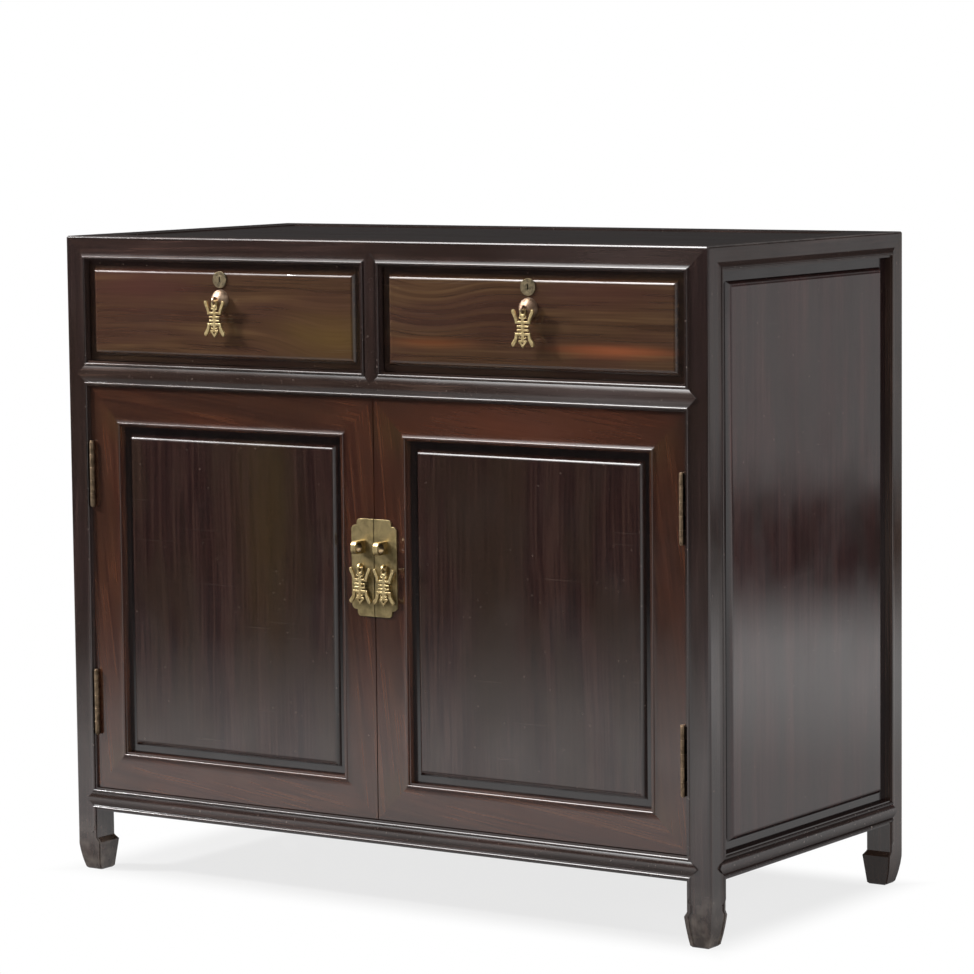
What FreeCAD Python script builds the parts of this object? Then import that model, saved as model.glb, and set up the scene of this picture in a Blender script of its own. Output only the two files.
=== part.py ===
import FreeCAD, Part
import math
import os

# Hardwood side cabinet: two drawers over two doors, on four posts with horse-hoof feet.
# Millimetres, +Z up, front towards -Y. Pieces are drawn with x = 0 in the middle, y = 0 on the
# front face of the posts and z = 0 on the floor, and are moved along Y when they are written.

# Overall sizes
width = 870.0
depth = 430.0
height = 748.0

# Frame members
post = 30.0
top_rail_height = 28.0
top_frame_width = 48.0
drawer_opening_height = 117.0
mid_rail_height = 29.5
bottom_rail_height = 27.0
foot_height = 72.5
rail_depth = 26.0
muntin_width = 28.0
arris = 2.5

# Joints of the frame
shoulder_depth = 9.0
tenon_inset = 11.0
tenon_thickness = 8.0
tenon_wall = 1.0
tenon_step = 4.0
stub_height = 18.0

# Horse-hoof feet
hoof_start = 45.0
hoof_inset = 6.2
foot_chamfer = 2.0
flare_reach = 4.0
flare_low = 34.0
flare_high = 39.5
flare_bend_shares = (0.35, 0.40)

# Moulding beside the openings: fillet, bead and cove, and the pillow on the pointed rails
fillet_width = 2.0
bead_width = 3.0
bead_height = 2.5
cove_width = 6.0
cove_sag_share = 0.22
pillow_rise = 2.0
moulding_root = 1.0
bead_fade = 9.0
foot_band_rise = 1.0

# Panels in their grooves
groove_depth = 6.0
groove_play = 0.5
tongue_play = 0.1
tongue_thickness = 6.0
side_recess = 1.5
side_margin_y = 15.1
side_margin_z = 10.6
field_rise = 5.0
field_bevel = 4.4
field_round = 4.0
top_panel_drop = 1.0
top_panel_gap = 1.0
top_panel_thickness = 11.0
top_tongue_thickness = 5.0
back_inset = 6.0
back_thickness = 8.0

# Boards inside
board_thickness = 12.0
bottom_board_drop = 3.5
board_gap = 0.5
shelf_rise = 226.5
shelf_setback = 15.0
cleat_height = 15.0

# Drawers
drawer_gap = 0.7
drawer_float = 0.3
drawer_recess = 1.0
drawer_front_thickness = 16.0
drawer_margin_x = 7.1
drawer_margin_z = 7.1
drawer_side_thickness = 10.0
drawer_side_inset = 1.0
drawer_side_drop = 8.0
drawer_back_room = 31.0
drawer_back_thickness = 10.0
drawer_back_inset = 12.0
drawer_back_drop = 8.0
drawer_bottom_thickness = 6.0
drawer_bottom_rise = 9.0
drawer_groove = 4.0
dovetail_length = 11.0
dovetail_count = 3
dovetail_base_share = 0.42
dovetail_flare_share = 0.22

# Drawer lock
lock_drop = 19.0
lock_face_radius = 9.5
lock_face_thickness = 1.5
lock_body_radius = 8.0
lock_fit = 0.1
plug_radius = 5.0
plug_clearance = 0.05
keyway_width = 1.6
keyway_length = 6.0
keyway_depth = 8.0
lock_tail = 4.0
cam_gap = 1.5
cam_thickness = 2.5
cam_width = 9.0
cam_length = 26.0
cam_clearance = 1.0

# Pulls
boss_drop = 42.0
boss_radius = 11.8
boss_height = 9.5
boss_shank_radius = 2.5
eye_outer_radius = 4.2
eye_hole_radius = 2.5
eye_thickness = 2.2
eye_sink = 2.4
eye_shank_radius = 1.8
eye_shank_length = 14.0
pendant_half_width = 14.5
pendant_drop = 41.0
pendant_thickness = 2.4
pendant_bar_radius = 1.1
pendant_bar_clearance = 0.3
pendant_ring_share = 0.26

# Pendant outline, as shares of its half width and of its drop below the pivot
spine_shares = ((0.0, 0.13), (0.12, 0.13), (0.12, 0.82), (0.0, 0.82))
horn_shares = ((0.44, 0.300), (0.50, 0.225), (0.70, 0.060), (0.74, 0.010), (0.82, -0.015),
               (0.93, 0.000), (0.98, 0.045), (0.94, 0.090), (0.75, 0.215), (0.66, 0.300))
upper_plate_shares = ((0.0, 0.295), (0.66, 0.295), (0.66, 0.360), (0.0, 0.360))
upper_tab_shares = ((0.0, 0.410), (0.50, 0.410), (0.50, 0.465), (0.0, 0.465))
lower_tab_shares = ((0.0, 0.510), (0.50, 0.510), (0.50, 0.565), (0.0, 0.565))
lower_plate_shares = ((0.0, 0.605), (0.66, 0.605), (0.66, 0.670), (0.0, 0.670))
leg_shares = ((0.46, 0.665), (0.66, 0.665), (0.72, 0.750), (0.92, 0.850), (1.00, 0.885),
              (0.98, 0.935), (0.86, 0.968), (0.72, 0.935), (0.52, 0.815), (0.46, 0.735))
upper_tooth_shares = ((0.0, 0.225), (0.32, 0.225), (0.32, 0.175), (0.24, 0.175), (0.24, 0.205),
                      (0.0, 0.205))
lower_tooth_shares = ((0.0, 0.735), (0.24, 0.735), (0.24, 0.705), (0.32, 0.705), (0.32, 0.760),
                      (0.0, 0.760))
tip_shares = ((0.0, 0.790), (0.37, 0.800), (0.37, 0.835), (0.0, 1.0))
tip_hole_shares = ((0.0, 0.850), (0.15, 0.850), (0.0, 0.925))

# Doors
door_gap = 0.7
meeting_gap = 1.2
meeting_relief = 1.2
door_recess = 3.0
door_thickness = 22.0
door_member_width = 45.0
door_tenon_margin = 7.0
door_tenon_outer = 10.0
door_tenon_reach = 16.0
door_tenon_thickness = 7.0
door_field_recess = 2.0
door_margin = 8.8

# Hinges
hinge_length = 75.0
hinge_inset = 102.5
barrel_radius = 3.0
hinge_clearance = 0.4
knuckle_count = 5
knuckle_gap = 0.2
leaf_thickness = 1.5
leaf_depth = 20.0
pin_radius = 1.4
pin_clearance = 0.05
pin_head_radius = 2.3
pin_head_height = 1.2

# Face plates, lugs and pull eyes on the doors
plate_width = 30.2
plate_height = 109.5
plate_rise = 229.5
plate_thickness = 1.5
plate_flat = 18.2
plate_crown = 4.6
plate_crown_fall = 5.0
plate_step = 2.5
plate_shoulder_fall = 4.2
lug_offset = 14.4
lug_rise = 308.0
lug_thickness = 6.5
lug_stand = 12.0
lug_hole_radius = 5.3
lug_rim = 1.7
lug_corner = 4.5
lug_shank = 4.0
eye_offset = 15.6
eye_rise = 285.0
eye_stand = 0.2
fitting_fit = 0.1

# One overrun serves all cuts
overrun = 2.0

# Places worked out from the sizes above
half_width = width / 2
inner_x = half_width - post
inner_y = depth - post
top_z = height - top_rail_height
drawer_z = top_z - drawer_opening_height
door_top_z = drawer_z - mid_rail_height
door_z = foot_height + bottom_rail_height
tenon_length = post - tenon_inset - tenon_thickness - tenon_wall
moulding_width = fillet_width + bead_width + cove_width
bead_spring = bead_height - bead_width / 2
half_muntin = muntin_width / 2
side_inner = half_width - side_recess - field_rise - tongue_thickness
back_front = depth - back_inset - back_thickness
drawer_x = (half_muntin + inner_x) / 2
drawer_border = drawer_recess + field_rise
drawer_front_back = drawer_border + drawer_front_thickness
drawer_length = back_front - drawer_back_room - drawer_recess
drawer_low = drawer_z + drawer_float
drawer_edge_in = half_muntin + drawer_gap
drawer_edge_out = inner_x - drawer_gap
lock_z = top_z - lock_drop
boss_z = top_z - boss_drop
cam_y = drawer_front_back + lock_tail + cam_gap
door_edge_out = inner_x - hinge_clearance
door_edge_in = meeting_gap / 2
door_low = door_z + door_gap
door_high = door_top_z - door_gap
door_back = door_recess + door_thickness
plate_face = door_recess - plate_thickness
axis_x = inner_x - hinge_clearance - barrel_radius
axis_y = door_recess - barrel_radius - hinge_clearance
pivot_drop = eye_hole_radius - pendant_bar_radius - pendant_bar_clearance
boss_eye_y = drawer_recess - boss_height - eye_outer_radius + eye_sink
door_eye_y = plate_face - eye_outer_radius - eye_stand
lug_x = door_edge_in + lug_offset
eye_x = door_edge_in + eye_offset
lug_reach = lug_hole_radius + lug_rim
front_reach = max(eye_outer_radius - boss_eye_y, lug_stand + lug_reach - plate_face)
front_shift = (front_reach - depth) / 2


def vec(x=0.0, y=0.0, z=0.0):
    return FreeCAD.Vector(x, y, z)


def block(x0, x1, y0, y1, z0, z1):
    return Part.makeBox(x1 - x0, y1 - y0, z1 - z0, vec(x0, y0, z0))


def slab(points, run):
    """A flat outline of corner points, pushed along run."""
    return Part.Face(Part.makePolygon(points + points[:1])).extrude(run)


def slab_xz(points, y0, y1):
    return slab([vec(x, y0, z) for x, z in points], vec(0, y1 - y0, 0))


def slab_yz(points, x0, x1):
    return slab([vec(x0, y, z) for y, z in points], vec(x1 - x0, 0, 0))


def slab_xy(points, z0, z1):
    return slab([vec(x, y, z0) for x, y in points], vec(0, 0, z1 - z0))


def rod(radius, start, end):
    run = end - start
    return Part.makeCylinder(radius, run.Length, start, run)


def line(start, end):
    return Part.LineSegment(start, end).toShape()


def arc(start, middle, end):
    return Part.Arc(start, middle, end).toShape()


def joined(shapes):
    """The pieces of one solid, fused with no seams left on their faces."""
    whole = shapes[0].fuse(shapes[1:]) if len(shapes) > 1 else shapes[0]
    return whole.removeSplitter()


def mirrored(shape):
    """The same piece on the other side of the cabinet."""
    return shape.mirror(vec(), vec(1, 0, 0))


def to_side(shape):
    """A front piece centred on x = 0, turned to the left side of the cabinet."""
    turned = shape.copy()
    turned.rotate(vec(), vec(0, 0, 1), -90)
    turned.translate(vec(-half_width, depth / 2, 0))
    return turned


def at_corner(shape, right, back):
    """A piece of the left front corner, drawn from that corner, put on any of the four."""
    placed = shape.translated(vec(-half_width, 0, 0))
    if back:
        placed = placed.mirror(vec(0, depth / 2, 0), vec(0, 1, 0))
    return mirrored(placed) if right else placed


def swapped(shape):
    """A piece on a post's front face, moved to its side face."""
    return shape.mirror(vec(), vec(1, -1, 0))


# Mouldings
def moulding_face(at):
    """Bead and cove: at(s, h) is the point s away from the opening's edge and h out of the face."""
    bead_end = fillet_width + bead_width
    cove_middle = at(bead_end + cove_width / 2, bead_spring * cove_sag_share)
    crest = at(fillet_width + bead_width / 2, bead_height)
    edges = [
        line(at(fillet_width, -moulding_root), at(fillet_width, bead_spring)),
        arc(at(fillet_width, bead_spring), crest, at(bead_end, bead_spring)),
        arc(at(bead_end, bead_spring), cove_middle, at(moulding_width, 0)),
        line(at(moulding_width, 0), at(moulding_width, -moulding_root)),
        line(at(moulding_width, -moulding_root), at(fillet_width, -moulding_root)),
    ]
    return Part.Face(Part.Wire(edges))


def mitred_strip(edge, side, start, end, start_rate, end_rate, upright, face_y=0.0):
    """Moulding along an opening's edge on a front face, mitred where it meets the next member.

    side is +1 or -1, the way from the opening into the member. A rate is the mitre's slope.
    """
    reach = moulding_width * max(start_rate, end_rate, 1.0)
    far = edge + side * moulding_width
    corners = [(edge, start), (edge, end),
               (far, end + end_rate * moulding_width), (far, start - start_rate * moulding_width)]
    run_length = end - start + 2 * reach
    if upright:
        face = moulding_face(lambda s, h: vec(edge + side * s, face_y - h, start - reach))
        run = vec(0, 0, run_length)
    else:
        face = moulding_face(lambda s, h: vec(start - reach, face_y - h, edge + side * s))
        run = vec(run_length, 0, 0)
        corners = [(z, x) for x, z in corners]
    outline = slab_xz(corners, face_y - bead_height - overrun, face_y + moulding_root + overrun)
    return face.extrude(run).common(outline)


def bead_edges(at, start, way):
    """Fillet and bead of a pointed rail, from its edge at start inwards along way."""
    quirk = start + way * fillet_width
    end = quirk + way * bead_width
    crest = at((quirk + end) / 2, bead_height)
    return [line(at(start, 0), at(quirk, 0)), line(at(quirk, 0), at(quirk, bead_spring)),
            arc(at(quirk, bead_spring), crest, at(end, bead_spring)),
            line(at(end, bead_spring), at(end, 0))]


def pointed_bar(length, bar_height, bar_depth, z0):
    """A rail with pointed 45 degree shoulders and stub tenons, along X and centred on x = 0."""
    z1 = z0 + bar_height
    middle = (z0 + z1) / 2
    end = length / 2
    tip = end + bar_height / 2
    trim = fillet_width + bead_width

    def at(z, h):
        return vec(-tip, -h, z)

    edges = bead_edges(at, z0, 1) + bead_edges(at, z1, -1)
    edges += [arc(at(z0 + trim, 0), at(middle, pillow_rise), at(z1 - trim, 0)),
              line(at(z0, 0), at(z0, -shoulder_depth)),
              line(at(z0, -shoulder_depth), at(z1, -shoulder_depth)),
              line(at(z1, -shoulder_depth), at(z1, 0))]
    face = Part.Face(Part.Wire(Part.__sortEdges__(edges)))
    outline = [(-end, z0), (end, z0), (tip, middle), (end, z1), (-end, z1), (-tip, middle)]
    front = face.extrude(vec(2 * tip, 0, 0))
    front = front.common(slab_xz(outline, -bead_height - overrun, shoulder_depth))
    behind = block(-end, end, shoulder_depth, bar_depth, z0, z1)
    return joined([front, behind, bar_tenon(end, z0, z1)])


def bar_tenon(end, z0, z1):
    """Stub tenons at both ends of a rail, as one bar right through it."""
    reach = end + tenon_length
    return block(-reach, reach, tenon_inset, tenon_inset + tenon_thickness, z0 + tenon_step, z1 - tenon_step)


# Posts, drawn from the left front corner
def post_outline():
    """Side view of a post: mitred head, straight shaft and horse-hoof foot."""
    radius = (hoof_inset ** 2 + (hoof_start - foot_chamfer) ** 2) / (2 * hoof_inset)
    half_turn = math.asin((hoof_start - foot_chamfer) / radius) / 2
    hoof_middle = (radius * (1 - math.cos(half_turn)), hoof_start - radius * math.sin(half_turn))
    bend_u, bend_z = flare_bend_shares
    flare_middle = (post + flare_reach * bend_u, flare_high + (flare_low - flare_high) * bend_z)
    return [
        ("line", (0, height), (0, hoof_start)),
        ("arc", (0, hoof_start), hoof_middle, (hoof_inset, foot_chamfer)),
        ("line", (hoof_inset, foot_chamfer), (hoof_inset + foot_chamfer, 0)),
        ("line", (hoof_inset + foot_chamfer, 0), (post - foot_chamfer, 0)),
        ("line", (post - foot_chamfer, 0), (post, foot_chamfer)),
        ("line", (post, foot_chamfer), (post + flare_reach, flare_low)),
        ("arc", (post + flare_reach, flare_low), flare_middle, (post, flare_high)),
        ("line", (post, flare_high), (post, top_z)),
        ("line", (post, top_z), (0, height)),
    ]


def post_prism():
    edges = []
    for kind, *points in post_outline():
        make = line if kind == "line" else arc
        edges.append(make(*[vec(u, 0, z) for u, z in points]))
    return Part.Face(Part.Wire(edges)).extrude(vec(0, post + flare_reach, 0))


def soft_case():
    """The cabinet's outer box with its upright and top arrises rounded, from the left front corner."""
    case = block(0, width, 0, depth, 0, height)
    return case.makeFillet(arris, [edge for edge in case.Edges if edge.BoundBox.ZMax > top_z])


def head_stub():
    """Stub tenon from a post's head up into the rail that runs along X."""
    inner = tenon_inset + tenon_thickness + tenon_wall
    return block(inner, post - tenon_wall, tenon_inset - tenon_wall, tenon_inset + tenon_thickness - tenon_wall,
                 top_z - tenon_step, top_z + stub_height)


def post_core():
    prism = post_prism()
    shaft = prism.common(swapped(prism)).common(soft_case())
    return joined([shaft, head_stub(), swapped(head_stub())])


def pointed_pocket(z0, z1):
    """What a pointed rail takes out of the front face of a post: its point and its tenon."""
    half = (z1 - z0) / 2
    point = [(post, z0), (post, z1), (post - half, z0 + half)]
    return joined([slab_xz(point, -bead_height - overrun, shoulder_depth), tenon_pocket(z0, z1)])


def tenon_pocket(z0, z1):
    return block(post - tenon_length, post + overrun, tenon_inset, tenon_inset + tenon_thickness,
                 z0 + tenon_step, z1 - tenon_step)


def post_strip(z0, z1, lower_rate, upper_rate):
    return mitred_strip(post, -1, z0, z1, lower_rate, upper_rate, upright=True)


def leg_strip():
    """Moulding below the bottom rail, fading out where the hoof begins."""
    strip = post_strip(hoof_start, foot_height, 0, 1)
    fade = [(-bead_height, hoof_start + bead_fade), (0, hoof_start), (moulding_root, hoof_start),
            (moulding_root, height), (-bead_height, height)]
    return strip.common(slab_yz(fade, 0, post))


def foot_band():
    """The leg's bead carried on down the hoof, as a flat band that follows its flared inner edge."""
    bend_u, bend_z = flare_bend_shares
    edge = [(post, hoof_start + bead_fade), (post, flare_high),
            (post + flare_reach * bend_u, flare_high + (flare_low - flare_high) * bend_z),
            (post + flare_reach, flare_low), (post, foot_chamfer)]
    near = [(u - fillet_width, z) for u, z in edge]
    far = [(u - bead_width, z) for u, z in near]
    band = slab_xz(near + far[::-1], -foot_band_rise, hoof_inset + moulding_root)
    return band.common(swapped(post_prism()).translated(vec(0, -foot_band_rise, 0)))


def corner_post(front):
    head_rate = top_rail_height / post
    side_strips = [leg_strip(), foot_band(), post_strip(door_z, top_z, 1, head_rate)]
    pieces = [post_core()] + [swapped(strip) for strip in side_strips]
    cuts = [swapped(pointed_pocket(foot_height, door_z))]
    if front:
        pieces += [leg_strip(), foot_band()]
        pieces += [post_strip(door_z, door_top_z, 1, 1), post_strip(drawer_z, top_z, 1, head_rate)]
        cuts += [pointed_pocket(foot_height, door_z), pointed_pocket(door_top_z, drawer_z)]
        cuts += [leaf_pocket(z) for z in hinge_places()]
    else:
        cuts += [tenon_pocket(foot_height, door_z)]
    return joined(pieces).cut(cuts)


def leaf_pocket(z):
    """Mortise for a hinge leaf in a front post's inner face, from the left front corner."""
    return block(post - leaf_thickness, post + overrun, -overrun, axis_y + leaf_depth,
                 z - hinge_length / 2, z + hinge_length / 2)


def hinge_places():
    return [door_z + hinge_inset, door_top_z - hinge_inset]


# Panels, boards and the grooves that they sit in
def slot(x0, x1, y0, y1, z0, z1, thin):
    """Groove for a board of these limits: tongue play across its thin way, groove play along it."""
    play = [tongue_play if way == thin else groove_play for way in "xyz"]
    return block(x0 - play[0], x1 + play[0], y0 - play[1], y1 + play[1], z0 - play[2], z1 + play[2])


def fielded(x0, x1, z0, z1, reach, border_y, back_y, margin_x, margin_z):
    """A board seen from the front with a raised field: its edge goes reach beyond the opening."""
    board = block(x0 - reach, x1 + reach, border_y, back_y, z0 - reach, z1 + reach)
    wires = []
    for y, bevel in ((border_y, 0), (border_y - field_rise, field_bevel)):
        left, right = x0 + margin_x + bevel, x1 - margin_x - bevel
        low, high = z0 + margin_z + bevel, z1 - margin_z - bevel
        corners = [vec(left, y, low), vec(right, y, low), vec(right, y, high), vec(left, y, high)]
        wires.append(Part.makePolygon(corners + corners[:1]))
    field = Part.makeLoft(wires, True, True)
    face_y = border_y - field_rise
    rims = [edge for edge in field.Edges if abs(edge.BoundBox.YMax - face_y) < field_round / 2]
    return joined([board, field.makeFillet(field_round, rims)])


def panel_tongue():
    return groove_depth - groove_play


def side_panel():
    half = depth / 2 - post
    border = side_recess + field_rise
    return to_side(fielded(-half, half, door_z, top_z, panel_tongue(), border, border + tongue_thickness,
                           side_margin_y, side_margin_z))


def side_slot():
    half = depth / 2 - post + panel_tongue()
    border = side_recess + field_rise
    return to_side(slot(-half, half, border, border + tongue_thickness, door_z - panel_tongue(),
                        top_z + panel_tongue(), "y"))


def top_panel_limits(reach):
    far = top_frame_width - reach
    return -half_width + far, half_width - far, far, depth - far


def top_tongue_z():
    high = height - top_panel_drop - top_panel_thickness + top_tongue_thickness
    return high - top_tongue_thickness, high


def top_panel():
    low, high = top_tongue_z()
    tongue = block(*top_panel_limits(panel_tongue()), low, high)
    field = block(*top_panel_limits(-top_panel_gap), low, height - top_panel_drop)
    return joined([tongue, field])


def back_limits():
    reach = inner_x + panel_tongue()
    return -reach, reach, back_front, depth - back_inset, door_z - panel_tongue(), top_z + panel_tongue()


def bottom_board_limits():
    x = half_width - rail_depth + panel_tongue()
    y = rail_depth - panel_tongue()
    high = door_z - bottom_board_drop
    return -x, x, y, depth - y, high - board_thickness, high


def post_notches(z0, z1):
    """Room round the four posts in a board that reaches past them."""
    side = post + board_gap
    notch = block(-overrun, side, -overrun, side, z0 - overrun, z1 + overrun)
    return [at_corner(notch, right, back) for right in (False, True) for back in (False, True)]


def bottom_board():
    limits = bottom_board_limits()
    return block(*limits).cut(post_notches(*limits[4:]))


def drawer_board_limits():
    x = side_inner - board_gap
    return -x, x, rail_depth - groove_depth, back_front - board_gap, drawer_z - board_thickness, drawer_z


def drawer_board():
    limits = drawer_board_limits()
    return block(*limits).cut(post_notches(*limits[4:]))


def shelf_z():
    return door_z + shelf_rise


def shelf():
    x = side_inner - board_gap
    return block(-x, x, post + shelf_setback, inner_y - board_gap, shelf_z(), shelf_z() + board_thickness)


def side_cleats():
    """Bars between the posts that carry the shelf and the drawer board."""
    left = []
    for high in (shelf_z(), drawer_z - board_thickness):
        left.append(block(-side_inner, -inner_x, post, inner_y, high - cleat_height, high))
    return Part.makeCompound(left + [mirrored(cleat) for cleat in left])


# Top frame
def top_rail_blank(front):
    """Mitred rail of the top frame: the front one, or the left one."""
    inner = half_width - top_frame_width
    if front:
        outline = [(-half_width, 0), (half_width, 0), (inner, top_frame_width), (-inner, top_frame_width)]
    else:
        outline = [(-half_width, 0), (-inner, top_frame_width),
                   (-inner, depth - top_frame_width), (-half_width, depth)]
    blank = slab_xy(outline, top_z, height)
    return blank.common(soft_case().translated(vec(-half_width, 0, 0)))


def all_posts(core):
    return [at_corner(core, right, back) for right in (False, True) for back in (False, True)]


def top_slot():
    return slot(*top_panel_limits(panel_tongue()), *top_tongue_z(), "z")


def top_rail_front(core):
    outer_rate = post / top_rail_height
    strip = mitred_strip(top_z, 1, half_muntin, inner_x, 1, outer_rate, upright=False)
    rail = top_rail_blank(True).cut(all_posts(core) + [top_slot()])
    rail = joined([rail, strip, mirrored(strip)])
    return rail.cut(muntin_pockets() + [cam_pocket(), mirrored(cam_pocket())])


def top_rail_back(core):
    rail = top_rail_blank(True).mirror(vec(0, depth / 2, 0), vec(0, 1, 0))
    return rail.cut(all_posts(core) + [top_slot(), slot(*back_limits(), "y")])


def top_rail_left(core):
    outer_rate = post / top_rail_height
    half = depth / 2 - post
    strip = to_side(mitred_strip(top_z, 1, -half, half, outer_rate, outer_rate, upright=False))
    rail = top_rail_blank(False).cut(all_posts(core) + [top_slot()])
    return joined([rail, strip]).cut(side_slot())


def cam_pocket():
    """Room in the top rail's underside for a turned lock cam."""
    rise = cam_length + cam_clearance
    swing = math.sqrt(rise ** 2 - lock_drop ** 2) + cam_clearance
    return block(drawer_x - swing, drawer_x + cam_width / 2 + cam_clearance, cam_y - cam_clearance,
                 cam_y + cam_thickness + cam_clearance, top_z - overrun, lock_z + rise)


# Other rails
def muntin_pockets():
    """What the muntin takes out of the rails above and below it: its points and its tenon."""
    pockets = [block(tenon_step - half_muntin, half_muntin - tenon_step, tenon_inset,
                     tenon_inset + tenon_thickness, drawer_z - tenon_length, top_z + tenon_length)]
    for edge_z, way in ((drawer_z, -1), (top_z, 1)):
        point = [(-half_muntin, edge_z), (half_muntin, edge_z), (0, edge_z + way * half_muntin)]
        pockets.append(slab_xz(point, -bead_height - overrun, shoulder_depth))
    return pockets


def muntin():
    """The upright between the drawers, drawn as a pointed bar and turned up."""
    bar = pointed_bar(drawer_opening_height, muntin_width, rail_depth, -half_muntin)
    bar.rotate(vec(), vec(0, 1, 0), -90)
    bar.translate(vec(0, 0, drawer_z + drawer_opening_height / 2))
    return bar


def mid_rail():
    bar = pointed_bar(2 * inner_x, mid_rail_height, rail_depth, door_top_z)
    return bar.cut(muntin_pockets() + [slot(*drawer_board_limits(), "z")])


def bottom_rail_front():
    bar = pointed_bar(2 * inner_x, bottom_rail_height, rail_depth, foot_height)
    return bar.cut(slot(*bottom_board_limits(), "z"))


def bottom_rail_left():
    bar = to_side(pointed_bar(depth - 2 * post, bottom_rail_height, rail_depth, foot_height))
    return bar.cut([slot(*bottom_board_limits(), "z"), side_slot()])


def bottom_rail_back():
    bar = joined([block(-inner_x, inner_x, 0, rail_depth, foot_height, door_z),
                  bar_tenon(inner_x, foot_height, door_z)])
    bar = bar.mirror(vec(0, depth / 2, 0), vec(0, 1, 0))
    return bar.cut([slot(*bottom_board_limits(), "z"), slot(*back_limits(), "y")])


# Drawers, drawn for the right one
def drawer_side_limits():
    return drawer_edge_out - drawer_side_inset - drawer_side_thickness, drawer_edge_out - drawer_side_inset


def drawer_side_top():
    return top_z - drawer_side_drop


def dovetails():
    """Tails of the outer drawer side, flaring towards the front board."""
    x0, x1 = drawer_side_limits()
    pitch = (drawer_side_top() - drawer_low) / dovetail_count
    tails = []
    for number in range(dovetail_count):
        middle = drawer_low + pitch * number + pitch / 2
        root = pitch * dovetail_base_share / 2
        flare = root + pitch * dovetail_flare_share / 2
        tip_y = drawer_front_back - dovetail_length
        outline = [(drawer_front_back, middle - root), (tip_y, middle - flare),
                   (tip_y, middle + flare), (drawer_front_back, middle + root)]
        tails.append(slab_yz(outline, x0, x1))
    return tails


def across_drawer(shape):
    """A piece of the right drawer, on the other side of that drawer."""
    return shape.mirror(vec(drawer_x, 0, 0), vec(1, 0, 0))


def drawer_bottom_limits():
    outer = drawer_side_limits()[0] + drawer_groove
    low = drawer_low + drawer_bottom_rise
    return (2 * drawer_x - outer, outer, drawer_front_back - drawer_groove, drawer_recess + drawer_length,
            low, low + drawer_bottom_thickness)


def drawer_back_limits():
    outer = drawer_side_limits()[0] + drawer_groove
    back = drawer_recess + drawer_length - drawer_back_inset
    low = drawer_bottom_limits()[5]
    return 2 * drawer_x - outer, outer, back - drawer_back_thickness, back, low, drawer_side_top() - drawer_back_drop


def drawer_front():
    board = fielded(drawer_edge_in, drawer_edge_out, drawer_z + drawer_gap, top_z - drawer_gap, 0,
                    drawer_border, drawer_front_back, drawer_margin_x, drawer_margin_z)
    tails = dovetails()
    holes = [lock_rod(lock_body_radius + lock_fit), boss_rod(boss_shank_radius + fitting_fit)]
    return board.cut(tails + [across_drawer(tail) for tail in tails] + holes + [block(*drawer_bottom_limits())])


def drawer_sides():
    x0, x1 = drawer_side_limits()
    board = block(x0, x1, drawer_front_back, drawer_recess + drawer_length, drawer_low, drawer_side_top())
    side = joined([board] + dovetails()).cut([block(*drawer_bottom_limits()), block(*drawer_back_limits())])
    return Part.makeCompound([side, across_drawer(side)])


def lock_rod(radius):
    start = vec(drawer_x, drawer_recess - overrun, lock_z)
    return rod(radius, start, vec(drawer_x, drawer_front_back + overrun, lock_z))


def boss_rod(radius):
    start = vec(drawer_x, drawer_recess - overrun, boss_z)
    return rod(radius, start, vec(drawer_x, drawer_front_back + overrun, boss_z))


def lock_case():
    """Round lock body with its face flange; the plug turns in its bore."""
    face = drawer_recess - lock_face_thickness
    back = drawer_front_back + lock_tail
    flange = rod(lock_face_radius, vec(drawer_x, face, lock_z), vec(drawer_x, drawer_recess, lock_z))
    body = rod(lock_body_radius, vec(drawer_x, face, lock_z), vec(drawer_x, back, lock_z))
    bore = rod(plug_radius + plug_clearance, vec(drawer_x, face - overrun, lock_z),
               vec(drawer_x, back + overrun, lock_z))
    return joined([flange, body]).cut(bore)


def lock_plug():
    """Plug with its keyway and its cam, which points sideways while the drawer is unlocked."""
    face = drawer_recess - lock_face_thickness
    plug = rod(plug_radius, vec(drawer_x, face, lock_z), vec(drawer_x, cam_y + cam_thickness, lock_z))
    cam = block(drawer_x - cam_length + cam_width / 2, drawer_x, cam_y, cam_y + cam_thickness,
                lock_z - cam_width / 2, lock_z + cam_width / 2)
    nose = rod(cam_width / 2, vec(drawer_x - cam_length + cam_width / 2, cam_y, lock_z),
               vec(drawer_x - cam_length + cam_width / 2, cam_y + cam_thickness, lock_z))
    keyway = block(drawer_x - keyway_width / 2, drawer_x + keyway_width / 2, face - overrun,
                   face + keyway_depth, lock_z - keyway_length / 2, lock_z + keyway_length / 2)
    return joined([plug, cam, nose]).cut(keyway)


# Pulls
def eye_ring(x, y, z):
    """An upright ring whose hole runs along X."""
    start, end = vec(x - eye_thickness / 2, y, z), vec(x + eye_thickness / 2, y, z)
    return rod(eye_outer_radius, start, end), rod(eye_hole_radius, start - vec(overrun), end + vec(overrun))


def pull_boss():
    """Domed boss with its eye in front and its shank through the drawer front."""
    radius = (boss_radius ** 2 + boss_height ** 2) / (2 * boss_height)
    centre_y = drawer_recess - boss_height + radius
    ball = Part.makeSphere(radius, vec(drawer_x, centre_y, boss_z))
    dome = ball.common(block(drawer_x - boss_radius, drawer_x + boss_radius, drawer_recess - boss_height,
                             drawer_recess, boss_z - boss_radius, boss_z + boss_radius))
    shank = rod(boss_shank_radius, vec(drawer_x, drawer_recess, boss_z), vec(drawer_x, drawer_front_back, boss_z))
    ring, hole = eye_ring(drawer_x, boss_eye_y, boss_z)
    return joined([dome, ring, shank]).cut(hole)


def pendant_face(shares):
    points = [vec(u * pendant_half_width, 0, -v * pendant_drop) for u, v in shares]
    return Part.Face(Part.makePolygon(points + points[:1]))


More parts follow.
